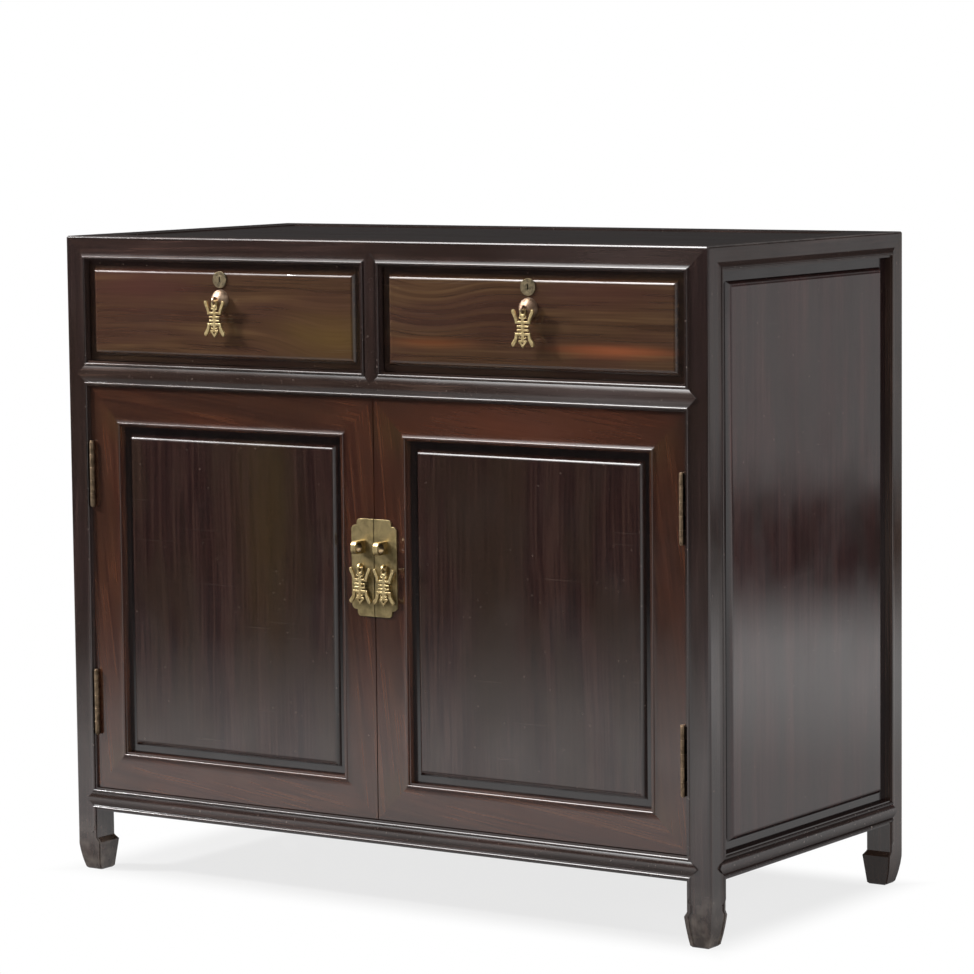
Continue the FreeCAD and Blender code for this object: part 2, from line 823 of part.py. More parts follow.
def pendant():
    """Pierced fret pull hanging from a round bar at the origin."""
    tables = [spine_shares, horn_shares, upper_plate_shares, upper_tab_shares, lower_tab_shares, lower_plate_shares,
              leg_shares, upper_tooth_shares, lower_tooth_shares, tip_shares]
    run = vec(0, pendant_thickness, 0)
    halves = [pendant_face(table).extrude(run) for table in tables]
    fret = joined(halves + [mirrored(half) for half in halves])
    hole = pendant_face(tip_hole_shares).extrude(run)
    fret = fret.cut([hole, mirrored(hole)])
    fret.translate(vec(0, -pendant_thickness / 2, 0))
    return joined([fret] + pendant_ring())


def pendant_ring():
    """Round bar in the eye, and the two cheeks that carry the fret."""
    outer = pendant_half_width * pendant_ring_share
    inner = eye_thickness / 2 + pendant_bar_clearance
    reach = eye_outer_radius + pendant_bar_clearance
    low = -reach - pendant_bar_radius * 2
    half = pendant_bar_radius
    bar = rod(pendant_bar_radius, vec(-outer, 0, 0), vec(outer, 0, 0))
    cheek = block(inner, outer, -half, half, low, 0)
    sill = block(-outer, outer, -half, half, low, -reach)
    return [bar, cheek, mirrored(cheek), sill]


def hung(x, y, z):
    return pendant().translated(vec(x, y, z - pivot_drop))


# Doors, drawn for the right one
def door_outlines():
    """The four mitred members of a door frame, as outlines seen from the front."""
    x0, x1, z0, z1 = door_edge_in, door_edge_out, door_low, door_high
    a0, a1 = x0 + door_member_width, x1 - door_member_width
    b0, b1 = z0 + door_member_width, z1 - door_member_width
    return {
        "stile_hinge": [(x1, z0), (x1, z1), (a1, b1), (a1, b0)],
        "stile_meeting": [(x0, z0), (x0, z1), (a0, b1), (a0, b0)],
        "rail_top": [(x0, z1), (x1, z1), (a1, b1), (a0, b1)],
        "rail_bottom": [(x0, z0), (x1, z0), (a1, b0), (a0, b0)],
    }


def door_strip(name):
    x0, x1 = door_edge_in + door_member_width, door_edge_out - door_member_width
    z0, z1 = door_low + door_member_width, door_high - door_member_width
    if name.startswith("stile"):
        edge, side = (x1, 1) if name == "stile_hinge" else (x0, -1)
        return mitred_strip(edge, side, z0, z1, 1, 1, True, door_recess)
    edge, side = (z1, 1) if name == "rail_top" else (z0, -1)
    return mitred_strip(edge, side, x0, x1, 1, 1, False, door_recess)


def door_tenons():
    """Stub tenons of the two rails, each across a mitre into a stile."""
    middle = door_recess + door_thickness / 2
    near = door_member_width - door_tenon_margin
    tenons = []
    for corner_x, way_x in ((door_edge_in, 1), (door_edge_out, -1)):
        for corner_z, way_z in ((door_low, 1), (door_high, -1)):
            xs = sorted((corner_x + way_x * door_tenon_outer, corner_x + way_x * near))
            zs = sorted((corner_z + way_z * near, corner_z + way_z * (near - door_tenon_reach)))
            tenons.append((way_z, block(*xs, middle, middle + door_tenon_thickness, *zs)))
    return tenons


def door_panel_levels():
    border = door_recess + door_field_recess + field_rise
    return border, border + tongue_thickness


def door_opening():
    return (door_edge_in + door_member_width, door_edge_out - door_member_width,
            door_low + door_member_width, door_high - door_member_width)


def door_panel():
    return fielded(*door_opening(), panel_tongue(), *door_panel_levels(), door_margin, door_margin)


def door_slot():
    x0, x1, z0, z1 = door_opening()
    reach = panel_tongue()
    return slot(x0 - reach, x1 + reach, *door_panel_levels(), z0 - reach, z1 + reach, "y")


def meeting_bevel():
    """Wedge off the back of the meeting edge, so that the doors clear each other as they open."""
    outline = [(door_edge_in, door_recess), (door_edge_in + meeting_relief, door_back), (door_edge_in, door_back)]
    return slab_xy(outline, door_low - overrun, door_high + overrun)


def door_leaf_pocket(z):
    return block(door_edge_out - leaf_thickness, door_edge_out + overrun, -overrun, axis_y + leaf_depth,
                 z - hinge_length / 2, z + hinge_length / 2)


def door_member(name):
    blank = slab_xz(door_outlines()[name], door_recess, door_back)
    member = joined([blank, door_strip(name)])
    way = 1 if name == "rail_bottom" else -1
    cuts = [door_slot(), meeting_bevel()]
    if name.startswith("rail"):
        member = joined([member] + [tenon for side, tenon in door_tenons() if side == way])
    else:
        cuts += [tenon for _, tenon in door_tenons()]
    if name == "stile_hinge":
        cuts += [door_leaf_pocket(z) for z in hinge_places()]
    if name == "stile_meeting":
        cuts += [lug_shank_block(fitting_fit), eye_shank_rod(eye_shank_radius + fitting_fit)]
    return member.cut(cuts)


# Hinges, drawn for the right door
def knuckles(numbers, z):
    """Knuckles of one leaf, with the pin's bore."""
    pitch = hinge_length / knuckle_count
    low = z - hinge_length / 2
    bore = rod(pin_radius + pin_clearance, vec(axis_x, axis_y, low - overrun),
               vec(axis_x, axis_y, low + hinge_length + overrun))
    barrels = []
    for number in numbers:
        start = low + number * pitch + knuckle_gap / 2
        barrels.append((start, start + pitch - knuckle_gap))
    return barrels, bore


def hinge_leaf(on_post, z):
    """A leaf in its mortise, wrapped round into its share of the knuckles."""
    barrels, bore = knuckles(range(0 if on_post else 1, knuckle_count, 2), z)
    x0 = inner_x if on_post else door_edge_out - leaf_thickness
    leaf_y = axis_y + barrel_radius + hinge_clearance
    half = leaf_thickness / 2
    pieces = [block(x0, x0 + leaf_thickness, leaf_y, axis_y + leaf_depth, z - hinge_length / 2, z + hinge_length / 2)]
    for start, end in barrels:
        pieces.append(rod(barrel_radius, vec(axis_x, axis_y, start), vec(axis_x, axis_y, end)))
        pieces.append(block(axis_x, x0 + leaf_thickness, axis_y - half, axis_y + half, start, end))
        pieces.append(block(x0, x0 + leaf_thickness, axis_y - half, leaf_y, start, end))
    return joined(pieces).cut(bore)


def hinge_pin(z):
    low, high = z - hinge_length / 2, z + hinge_length / 2
    shaft = rod(pin_radius, vec(axis_x, axis_y, low), vec(axis_x, axis_y, high))
    caps = [rod(pin_head_radius, vec(axis_x, axis_y, high), vec(axis_x, axis_y, high + pin_head_height)),
            rod(pin_head_radius, vec(axis_x, axis_y, low - pin_head_height), vec(axis_x, axis_y, low))]
    return joined([shaft] + caps)


def both_sides(pieces):
    return Part.makeCompound(pieces + [mirrored(piece) for piece in pieces])


# Face plate, lug and eye, drawn for the right door
def quarter_bow(x0, z0, x1, z1):
    """Convex quarter from a level edge at the first point to an upright edge at the second."""
    lean = math.sqrt(0.5)
    middle = vec(x0 + (x1 - x0) * lean, 0, z1 + (z0 - z1) * lean)
    return arc(vec(x0, 0, z0), middle, vec(x1, 0, z1))


def face_plate():
    """Half of the stepped plate: a level crown, a rounded corner, a step and a rounded shoulder."""
    high = plate_height / 2
    crown_x = plate_flat + plate_crown
    crown_z = high - plate_crown_fall
    step_z = crown_z - plate_step
    side_z = step_z - plate_shoulder_fall
    upper = [line(vec(0, 0, 0), vec(0, 0, high)), line(vec(0, 0, high), vec(plate_flat, 0, high)),
             quarter_bow(plate_flat, high, crown_x, crown_z),
             line(vec(crown_x, 0, crown_z), vec(crown_x, 0, step_z)),
             quarter_bow(crown_x, step_z, plate_width, side_z),
             line(vec(plate_width, 0, side_z), vec(plate_width, 0, 0)),
             line(vec(plate_width, 0, 0), vec(0, 0, 0))]
    half = Part.Face(Part.Wire(upper)).extrude(vec(0, plate_thickness, 0))
    plate = joined([half, half.mirror(vec(), vec(0, 0, 1))])
    plate.translate(vec(door_edge_in, plate_face, door_z + plate_rise + high))
    return plate.cut([lug_shank_block(fitting_fit), eye_shank_rod(eye_shank_radius + fitting_fit)])


def lug_z():
    return door_z + lug_rise


def eye_z():
    return door_z + eye_rise


def lug_shank_block(fit):
    half = lug_shank / 2 + fit
    return block(lug_x - half, lug_x + half, plate_face, door_recess + eye_shank_length + fit,
                 lug_z() - half, lug_z() + half)


def lug():
    """Padlock lug: a tab on the plate with rounded front corners and a hole across it."""
    half = lug_thickness / 2
    middle_y = plate_face - lug_stand
    tab = block(lug_x - half, lug_x + half, middle_y - lug_reach, plate_face,
                lug_z() - lug_reach, lug_z() + lug_reach)
    fronts = [edge for edge in tab.Edges if edge.BoundBox.YMax < middle_y and edge.BoundBox.XLength > half]
    hole = rod(lug_hole_radius, vec(lug_x - half - overrun, middle_y, lug_z()),
               vec(lug_x + half + overrun, middle_y, lug_z()))
    return joined([tab.makeFillet(lug_corner, fronts), lug_shank_block(0)]).cut(hole)


def eye_shank_rod(radius):
    start = door_eye_y + (eye_hole_radius + eye_outer_radius) / 2
    return rod(radius, vec(eye_x, start, eye_z()), vec(eye_x, door_recess + eye_shank_length, eye_z()))


def pull_eye():
    ring, hole = eye_ring(eye_x, door_eye_y, eye_z())
    return joined([ring, eye_shank_rod(eye_shank_radius)]).cut(hole)


# All pieces by name
def carcass():
    core = post_core()
    slots = {"left": side_slot(), "right": mirrored(side_slot())}
    pieces = {}
    for end in ("front", "back"):
        drawn = corner_post(end == "front")
        for side in ("left", "right"):
            placed = at_corner(drawn, side == "right", end == "back")
            cuts = [slots[side]] + ([slot(*back_limits(), "y")] if end == "back" else [])
            pieces["post_" + end + "_" + side] = placed.cut(cuts)
    pieces["top_rail_front"] = top_rail_front(core)
    pieces["top_rail_back"] = top_rail_back(core)
    pieces["top_panel"] = top_panel()
    pieces["mid_rail_front"] = mid_rail()
    pieces["drawer_muntin"] = muntin()
    pieces["bottom_rail_front"] = bottom_rail_front()
    pieces["bottom_rail_back"] = bottom_rail_back()
    for name, piece in (("top_rail", top_rail_left(core)), ("bottom_rail", bottom_rail_left()),
                        ("side_panel", side_panel())):
        pieces[name + "_left"] = piece
        pieces[name + "_right"] = mirrored(piece)
    pieces["back_panel"] = block(*back_limits())
    pieces["bottom_board"] = bottom_board()
    pieces["drawer_board"] = drawer_board()
    pieces["shelf"] = shelf()
    pieces["side_cleats"] = side_cleats()
    pieces["hinge_post_leaves"] = both_sides([hinge_leaf(True, z) for z in hinge_places()])
    pieces["hinge_pins"] = both_sides([hinge_pin(z) for z in hinge_places()])
    return pieces


def drawer():
    return {
        "front": drawer_front(),
        "sides": drawer_sides(),
        "back": block(*drawer_back_limits()),
        "bottom": block(*drawer_bottom_limits()),
        "lock_case": lock_case(),
        "lock_plug": lock_plug(),
        "pull_boss": pull_boss(),
        "pendant": hung(drawer_x, boss_eye_y, boss_z),
    }


def door():
    pieces = {name: door_member(name) for name in door_outlines()}
    pieces["panel"] = door_panel()
    pieces["hinge_leaves"] = Part.makeCompound([hinge_leaf(False, z) for z in hinge_places()])
    pieces["face_plate"] = face_plate()
    pieces["lug"] = lug()
    pieces["pull_eye"] = pull_eye()
    pieces["pendant"] = hung(eye_x, door_eye_y, eye_z())
    return pieces


def cabinet():
    pieces = carcass()
    for kind, drawn in (("drawer", drawer()), ("door", door())):
        for name, piece in drawn.items():
            pieces[kind + "_right_" + name] = piece
            pieces[kind + "_left_" + name] = mirrored(piece)
    return pieces


os.makedirs("parts", exist_ok=True)
for node, shape in cabinet().items():
    shape.translated(vec(0, front_shift, 0)).exportStep("parts/" + node + ".step")
    print(node, len(shape.Solids), "valid" if shape.isValid() else "NOT VALID", round(shape.Volume))
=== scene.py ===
# %% [markdown]
# # A dark hardwood side cabinet
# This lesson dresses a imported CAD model: a flush-sided East Asian cabinet of dark hardwood, with two drawers
# over two doors and brass fittings. Every board and fitting already has its right shape in the frame, so
# the work here is the camera, the light, the finishes and the small screws that hold the hinges.

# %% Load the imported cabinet
import bpy
import math
from mathutils import Matrix, Vector


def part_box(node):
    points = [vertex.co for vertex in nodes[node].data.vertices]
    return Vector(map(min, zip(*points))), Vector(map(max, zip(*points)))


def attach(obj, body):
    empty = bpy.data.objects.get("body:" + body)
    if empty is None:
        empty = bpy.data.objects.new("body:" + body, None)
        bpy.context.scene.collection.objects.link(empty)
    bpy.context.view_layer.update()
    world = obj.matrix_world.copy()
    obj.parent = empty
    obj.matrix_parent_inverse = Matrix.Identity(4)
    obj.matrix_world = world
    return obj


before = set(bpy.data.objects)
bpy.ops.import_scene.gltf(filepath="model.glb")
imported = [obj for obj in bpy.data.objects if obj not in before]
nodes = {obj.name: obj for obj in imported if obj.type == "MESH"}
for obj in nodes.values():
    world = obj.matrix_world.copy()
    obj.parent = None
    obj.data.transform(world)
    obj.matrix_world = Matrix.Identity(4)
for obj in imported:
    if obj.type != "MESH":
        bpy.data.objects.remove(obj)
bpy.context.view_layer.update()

# %% [markdown]
# ## The camera
# The cabinet is seen from its right-hand front corner with a long lens, so its upright lines stay almost
# parallel. A camera could be aimed with a Track To constraint. Here the yaw, pitch and roll that were
# measured from the picture, in degrees, make the matrix directly, because a constraint would drop the small
# roll. The lens is in millimetres and the place in metres.

# %% Place the camera
view = {"yaw": 34.04, "pitch": 5.83, "roll": -0.6, "lens": 145.81, "place": (2.5463, -3.74805, 0.9186)}
yaw, pitch, roll = (math.radians(view[key]) for key in ("yaw", "pitch", "roll"))
ahead = Vector((-math.sin(yaw) * math.cos(pitch), math.cos(yaw) * math.cos(pitch), -math.sin(pitch)))
right = ahead.cross(Vector((0, 0, 1))).normalized()
up = right.cross(ahead)
across = right * math.cos(roll) + up * math.sin(roll)
over = up * math.cos(roll) - right * math.sin(roll)
camera = bpy.data.objects.new("camera", bpy.data.cameras.new("camera"))
bpy.context.collection.objects.link(camera)
turn = Matrix((across, over, -ahead)).transposed().to_4x4()
camera.matrix_world = Matrix.Translation(view["place"]) @ turn
camera.data.lens = view["lens"]
camera.data.sensor_width = 36.0
camera.data.clip_end = 100.0
bpy.context.scene.camera = camera
bpy.context.scene.view_settings.view_transform = "Standard"
print("camera looks along", [round(c, 3) for c in ahead])

# %% [markdown]
# ## Helpers for every material
# Paint charts and pictures give colours as sRGB hex values, while shader sockets want linear light, so one
# function converts them. Another adds a node: settings become properties of the node, and each input is
# either a plain value or the output socket of another node, which is then linked. A third starts a material
# with an empty tree.

# %% Colour and node helpers
def linear(hex_colour):
    parts = [int(hex_colour[i:i + 2], 16) / 255 for i in (1, 3, 5)]
    return tuple(c / 12.92 if c <= 0.04045 else ((c + 0.055) / 1.055) ** 2.4 for c in parts) + (1.0,)


def add(tree, kind, inputs={}, **settings):
    node = tree.nodes.new(kind)
    for name, value in settings.items():
        setattr(node, name, value)
    for name, value in inputs.items():
        socket = node.inputs[name]
        if isinstance(value, bpy.types.NodeSocket):
            tree.links.new(value, socket)
        else:
            socket.default_value = value
    return node


def new_material(name):
    material = bpy.data.materials.new(name)
    material.use_nodes = True
    material.node_tree.nodes.clear()
    return material, material.node_tree


print("#808080 is", round(linear("#808080")[0], 4), "in linear light")

# %% [markdown]
# Two more give the settings of a Mapping node. `cells` turns the size of a pattern's cell in millimetres
# into a scale. `about` turns an oval patch into a ball of radius one round zero, so that a length tells how
# far out of the patch a point is.

# %% Mapping helpers
def cells(*sizes_mm):
    return tuple(1000 / size for size in sizes_mm)


def about(centre, size):
    scale = [1 / s for s in size]
    return {"Location": [-c * k for c, k in zip(centre, scale)], "Scale": scale}


print("a cell of 8 mm has scale", cells(8)[0])

# %% [markdown]
# ## The studio
# The cabinet stands on a white sweep in a dim studio. Polished wood is a mirror at low angles, so what it
# mirrors matters as much as the lamps do: the white floor close by brightens the lower half of the doors,
# the dim room beyond keeps the upper half dark, and a long soft box overhead draws a line along every bead.
# A modelled room could do this. A few gradients of the world's direction do the same with nothing to hide.

# %% The room that the polish mirrors
DARK_ROOM = 0.04
LAMP_LEVEL = 14.0
world = bpy.data.worlds.new("studio")
bpy.context.scene.world = world
world.use_nodes = True
tree = world.node_tree
tree.nodes.clear()
heading = add(tree, "ShaderNodeTexCoord").outputs["Generated"]
way = add(tree, "ShaderNodeSeparateXYZ", {"Vector": heading}).outputs
glow = add(tree, "ShaderNodeMapRange", {"Value": way["Z"], "From Min": 0.2, "From Max": 0.55,
                                        "To Min": 0.0, "To Max": 1.26}).outputs["Result"]
dim = add(tree, "ShaderNodeMapRange", {"Value": way["Z"], "From Min": 0.6, "From Max": 0.85,
                                       "To Min": 1.0, "To Max": 0.25}).outputs["Result"]
behind = add(tree, "ShaderNodeMapRange", {"Value": way["Y"], "From Min": 0.0, "From Max": 0.4,
                                          "To Min": 1.0, "To Max": 0.2}).outputs["Result"]
shaded = add(tree, "ShaderNodeMath", {0: dim, 1: behind}, operation="MULTIPLY").outputs[0]
ceiling = add(tree, "ShaderNodeMath", {0: glow, 1: shaded, 2: DARK_ROOM},
              operation="MULTIPLY_ADD").outputs[0]
lamp_patch = about((-0.42, -0.40, 0.72), (0.22, 0.80, 0.65))
lamp = add(tree, "ShaderNodeMapping", {"Vector": heading, **lamp_patch}).outputs["Vector"]
aside = add(tree, "ShaderNodeVectorMath", {0: lamp}, operation="LENGTH").outputs["Value"]
lamp_face = add(tree, "ShaderNodeMapRange", {"Value": aside, "From Min": 0.4, "From Max": 1.0,
                                             "To Min": LAMP_LEVEL, "To Max": 0.0}).outputs["Result"]
left_wall = add(tree, "ShaderNodeMapRange", {"Value": way["X"], "From Min": -0.84, "From Max": -0.96,
                                             "To Min": 0.0, "To Max": 0.8}).outputs["Result"]
above = add(tree, "ShaderNodeMath", {0: ceiling, 1: lamp_face}, operation="ADD").outputs[0]
room = add(tree, "ShaderNodeMath", {0: above, 1: left_wall}, operation="ADD").outputs[0]
print("room nodes:", len(tree.nodes))

# %% [markdown]
# One world has to be three things. It is white where the camera sees it, it is this room in reflections and
# through glass, and for all other rays it is a weak even light. Light Path tells these rays apart.

# %% World
EVEN_LIGHT = 0.18
ray = add(tree, "ShaderNodeLightPath").outputs
seen = add(tree, "ShaderNodeMix", {"Factor": ray["Is Camera Ray"], "A": room, "B": 1.0}).outputs["Result"]
mirrored = add(tree, "ShaderNodeMath", {0: ray["Is Glossy Ray"], 1: ray["Is Transmission Ray"]},
               operation="MAXIMUM").outputs[0]
looked_at = add(tree, "ShaderNodeMath", {0: ray["Is Camera Ray"], 1: mirrored},
                operation="MAXIMUM").outputs[0]
soft_light = add(tree, "ShaderNodeBackground", {"Color": (1, 1, 1, 1), "Strength": EVEN_LIGHT}).outputs[0]
backdrop = add(tree, "ShaderNodeBackground", {"Color": (1, 1, 1, 1), "Strength": seen}).outputs[0]
either = add(tree, "ShaderNodeMixShader", {0: looked_at, 1: soft_light, 2: backdrop}).outputs[0]
add(tree, "ShaderNodeOutputWorld", {"Surface": either})
print("world nodes:", len(tree.nodes))

# %% [markdown]
# The floor is one large sheet of polished white board. In reflections, a colour ramp along the mirrored line
# of sight gives it its levels. The fronts mirror the ramp's first half, which is bright close by and dark
# beyond the end of the sweep. The right-hand side mirrors the second half: bright, then dark, then fairly
# bright again, where a white screen stands. Like any polish the floor is brightest at a low angle, so a view
# from above finds less of it in the doors.

# %% Floor in reflections
MIRRORED_SIGHT = (0.56, 0.83, 0)
SWEEP_REACH = 6.0
SWEEP = ((0.305, 0.03), (0.40, 1.0), (0.52, 0.58), (0.60, 0.62), (0.66, 1.0), (0.70, 1.0), (0.77, 0.02),
         (0.88, 0.02), (0.92, 0.48))
board, tree = new_material("polished_white_board")
spot = add(tree, "ShaderNodeTexCoord").outputs["Object"]
along = add(tree, "ShaderNodeVectorMath", {0: spot, 1: MIRRORED_SIGHT}, operation="DOT_PRODUCT")
track = add(tree, "ShaderNodeMapRange", {"Value": along.outputs["Value"], "From Min": -SWEEP_REACH,
                                         "From Max": SWEEP_REACH}).outputs["Result"]
sweep = add(tree, "ShaderNodeValToRGB", {"Fac": track})
stops = sweep.color_ramp.elements
for index, (position, level) in enumerate(SWEEP):
    stop = stops[index] if index < 2 else stops.new(position)
    stop.position = position
    stop.color = (level, level, level, 1)
facing = add(tree, "ShaderNodeLayerWeight", {"Blend": 0.5}).outputs["Facing"]
polish = add(tree, "ShaderNodeMapRange", {"Value": facing, "From Min": 0.58, "From Max": 0.83,
                                          "To Min": 0.34, "To Max": 0.9}).outputs["Result"]
bright = add(tree, "ShaderNodeEmission", {"Color": sweep.outputs["Color"], "Strength": polish}).outputs[0]
print("the sweep has", len(stops), "levels")

# %% [markdown]
# For the camera, the board under the cabinet takes the shadow and mirrors the legs a little. Round it, it is
# lifted to white, so that no edge shows.

# %% Floor
FLOOR_HALF = 30.0
UNDER = (0.40, 0.17, 0)
FADE = 0.08
LIFT_UNDER = 0.78
sides = add(tree, "ShaderNodeVectorMath", {0: spot}, operation="ABSOLUTE").outputs["Vector"]
beyond = add(tree, "ShaderNodeVectorMath", {0: sides, 1: UNDER}, operation="SUBTRACT").outputs["Vector"]
past = add(tree, "ShaderNodeSeparateXYZ", {"Vector": beyond}).outputs
outside = add(tree, "ShaderNodeMath", {0: past["X"], 1: past["Y"]}, operation="MAXIMUM").outputs[0]
lift = add(tree, "ShaderNodeMapRange", {"Value": outside, "From Min": 0.0, "From Max": FADE,
                                        "To Min": LIFT_UNDER, "To Max": 1.0},
           interpolation_type="SMOOTHSTEP").outputs["Result"]
gloss = add(tree, "ShaderNodeBsdfPrincipled", {"Base Color": sweep.outputs["Color"], "Roughness": 0.12})
white = add(tree, "ShaderNodeEmission", {"Color": (1, 1, 1, 1), "Strength": 1.0}).outputs[0]
ray = add(tree, "ShaderNodeLightPath").outputs
share = add(tree, "ShaderNodeMath", {0: lift, 1: ray["Is Camera Ray"]}, operation="MULTIPLY").outputs[0]
both = add(tree, "ShaderNodeMixShader", {0: share, 1: gloss.outputs[0], 2: white}).outputs[0]
mirrored = add(tree, "ShaderNodeMath", {0: ray["Is Glossy Ray"], 1: ray["Is Transmission Ray"]},
               operation="MAXIMUM").outputs[0]
every = add(tree, "ShaderNodeMixShader", {0: mirrored, 1: both, 2: bright}).outputs[0]
add(tree, "ShaderNodeOutputMaterial", {"Surface": every})
sheet = bpy.data.meshes.new("floor")
corners = [(x * FLOOR_HALF, y * FLOOR_HALF, 0) for x, y in ((-1, -1), (1, -1), (1, 1), (-1, 1))]
sheet.from_pydata(corners, [], [(0, 1, 2, 3)])
sheet.materials.append(board)
floor = bpy.data.objects.new("floor", sheet)
bpy.context.collection.objects.link(floor)
print("floor reaches", FLOOR_HALF, "m each way")

# %% [markdown]
# Three soft boxes light it: one high on the left, which throws the pulls' shadows to the right, one
# overhead, and a lower one on the right that opens up that side. The last two are left out of reflections,
# because the world already holds the lamp that the polish mirrors. An area lamp's level is its power over
# its distance squared, so each is given as the brightness it lends a white card at the cabinet.

# %% Soft boxes
def soft_box(name, place, target, size, level, mirrored=True):
    lamp = bpy.data.lights.new(name, "AREA")
    lamp.shape = "RECTANGLE"
    lamp.size, lamp.size_y = size
    aim = Vector(target) - Vector(place)
    lamp.energy = level * math.pi ** 2 * aim.length_squared
    box = bpy.data.objects.new(name, lamp)
    bpy.context.collection.objects.link(box)
    box.matrix_world = Matrix.Translation(place) @ aim.to_track_quat("-Z", "Y").to_matrix().to_4x4()
    box.visible_glossy = mirrored
    print(name, "has", round(lamp.energy, 1), "W")


soft_box("soft_box_left", (-3.1, -1.75, 2.5), (0, -0.2, 0.6), (0.5, 0.5), 1.15)
soft_box("soft_box_overhead", (-0.5, -1.1, 2.7), (0, -0.1, 0.4), (1.8, 1.1), 0.22, mirrored=False)
soft_box("soft_box_right", (3.4, -0.9, 1.5), (0.4, 0, 0.4), (1.0, 1.0), 0.45, mirrored=False)

# %% [markdown]
# ## The hardwood
# The boards are a dense dark rosewood-like timber, oiled and waxed until they shine. To the eye it is: bands
# of growth half a finger wide, thin lines inside them, short open pores that follow the grain, and a slow
# drift from aubergine to olive over a board. Image textures would tile and stretch; noise stretched along
# each board's own grain does not, and it runs through the board, so edges fit the faces.
#
# First comes the way the grain runs. The coordinates are turned along the board, and a slow noise sways them
# by some millimetres. Where the tree had a branch, the lines swerve: a soft hill is added to the height
# before the noise is read, and the lines bend round it as contour lines do. A hill is given as its centre,
# its half size and its rise.

# %% Grain direction
TURNS = {"x": (0, 0), "y": (0, -math.pi / 2), "z": (math.pi / 2, 0)}
SWAY_CELL = (240, 110, 110)
SWAY = 0.012


def grain_lines(tree, place, along, tilt, hearts):
    flow = place
    for centre, size, rise in hearts:
        near = add(tree, "ShaderNodeMapping", {"Vector": place, **about(centre, size)}).outputs["Vector"]
        far = add(tree, "ShaderNodeVectorMath", {0: near}, operation="LENGTH").outputs["Value"]
        hill = add(tree, "ShaderNodeMapRange", {"Value": far, "To Min": rise, "To Max": 0.0},
                   interpolation_type="SMOOTHERSTEP").outputs["Result"]
        push = add(tree, "ShaderNodeCombineXYZ", {"Z": hill}).outputs["Vector"]
        flow = add(tree, "ShaderNodeVectorMath", {0: flow, 1: push}, operation="ADD").outputs["Vector"]
    lean, turn = TURNS[along]
    turned = add(tree, "ShaderNodeMapping", {"Vector": flow, "Rotation": (0, lean + tilt, turn)})
    turned = turned.outputs["Vector"]
    slow = add(tree, "ShaderNodeMapping", {"Vector": turned, "Scale": cells(*SWAY_CELL)}).outputs["Vector"]
    swing = add(tree, "ShaderNodeTexNoise", {"Vector": slow, "Scale": 1.0, "Detail": 1.0}).outputs["Color"]
    return add(tree, "ShaderNodeVectorMath", {0: swing, 1: (0, SWAY, SWAY), 2: turned},
               operation="MULTIPLY_ADD").outputs["Vector"]


print("grain may run along", ", ".join(TURNS))

# %% [markdown]
# Every layer of the grain is a noise whose cell is given in millimetres, long along the grain and narrow
# across it, with a level of detail. Pores are really about 0.3 mm wide, which is too fine to show, so they
# are drawn wider.

# %% Grain layers
LAYERS = {"band": (400, 8, 2.0), "line": (170, 2.4, 2.0), "pore": (45, 1.4, 1.0), "haze": (70, 50, 4.0)}


def grain_layers(tree, grain):
    layer = {}
    for part, (length, width, detail) in LAYERS.items():
        spread = add(tree, "ShaderNodeMapping", {"Vector": grain, "Scale": cells(length, width, width)})
        layer[part] = add(tree, "ShaderNodeTexNoise", {"Vector": spread.outputs["Vector"], "Scale": 1.0,
                                                       "Detail": detail}).outputs["Fac"]
    return layer


print("a band of growth is about", LAYERS["band"][1], "mm wide")

# %% [markdown]
# Bands and lines together pick a colour between a dark and a light shade. `fine` is the share of the thin
# lines. Noise stays near its middle, so a small `reach` round the middle gives the stronger contrast.

# %% Growth colours
def growth_colour(tree, layer, shades, fine, reach):
    dark, mid, light = (linear(shade) for shade in shades)
    tone = add(tree, "ShaderNodeMix", {"Factor": fine, "A": layer["band"], "B": layer["line"]})
    ramp = add(tree, "ShaderNodeValToRGB", {"Fac": tone.outputs["Result"]})
    stops = ramp.color_ramp.elements
    stops[0].position = 0.5 - reach
    stops[0].color = dark
    stops[1].position = 0.5 + reach
    stops[1].color = light
    stops.new(0.5).color = mid
    return ramp.outputs["Color"]


print("each board has three shades")

# %% [markdown]
# Heartwood drifts in colour over a hand's breadth, and some boards have a zone of their own, such as an
# olive band or an orange streak. The drift is a slow noise along the grain. A zone is an oval patch, given
# as its centre, half size, tint and share. Its rim is made ragged by the bands of growth, so that it looks
# grown and not sprayed on.

# %% Drift and zones of colour
DRIFT_CELL = (150, 36, 36)
RAGGED = 0.7


def drifted(tree, colour, grain, tint, most):
    patch = add(tree, "ShaderNodeMapping", {"Vector": grain, "Scale": cells(*DRIFT_CELL)}).outputs["Vector"]
    wander = add(tree, "ShaderNodeTexNoise", {"Vector": patch, "Scale": 1.0, "Detail": 2.5}).outputs["Fac"]
    share = add(tree, "ShaderNodeMapRange", {"Value": wander, "From Min": 0.4, "From Max": 0.62,
                                             "To Min": 0.0, "To Max": most},
                interpolation_type="SMOOTHSTEP").outputs["Result"]
    return add(tree, "ShaderNodeMix", {"Factor": share, 6: colour, 7: linear(tint)},
               data_type="RGBA").outputs[2]


def zoned(tree, colour, place, band, centre, size, tint, most):
    near = add(tree, "ShaderNodeMapping", {"Vector": place, **about(centre, size)}).outputs["Vector"]
    far = add(tree, "ShaderNodeVectorMath", {0: near}, operation="LENGTH").outputs["Value"]
    rim = add(tree, "ShaderNodeMath", {0: band, 1: RAGGED, 2: far}, operation="MULTIPLY_ADD").outputs[0]
    share = add(tree, "ShaderNodeMapRange", {"Value": rim, "From Min": 0.3, "From Max": 1.3,
                                             "To Min": most, "To Max": 0.0},
                interpolation_type="SMOOTHSTEP").outputs["Result"]
    return add(tree, "ShaderNodeMix", {"Factor": share, 6: colour, 7: linear(tint)},
               data_type="RGBA").outputs[2]


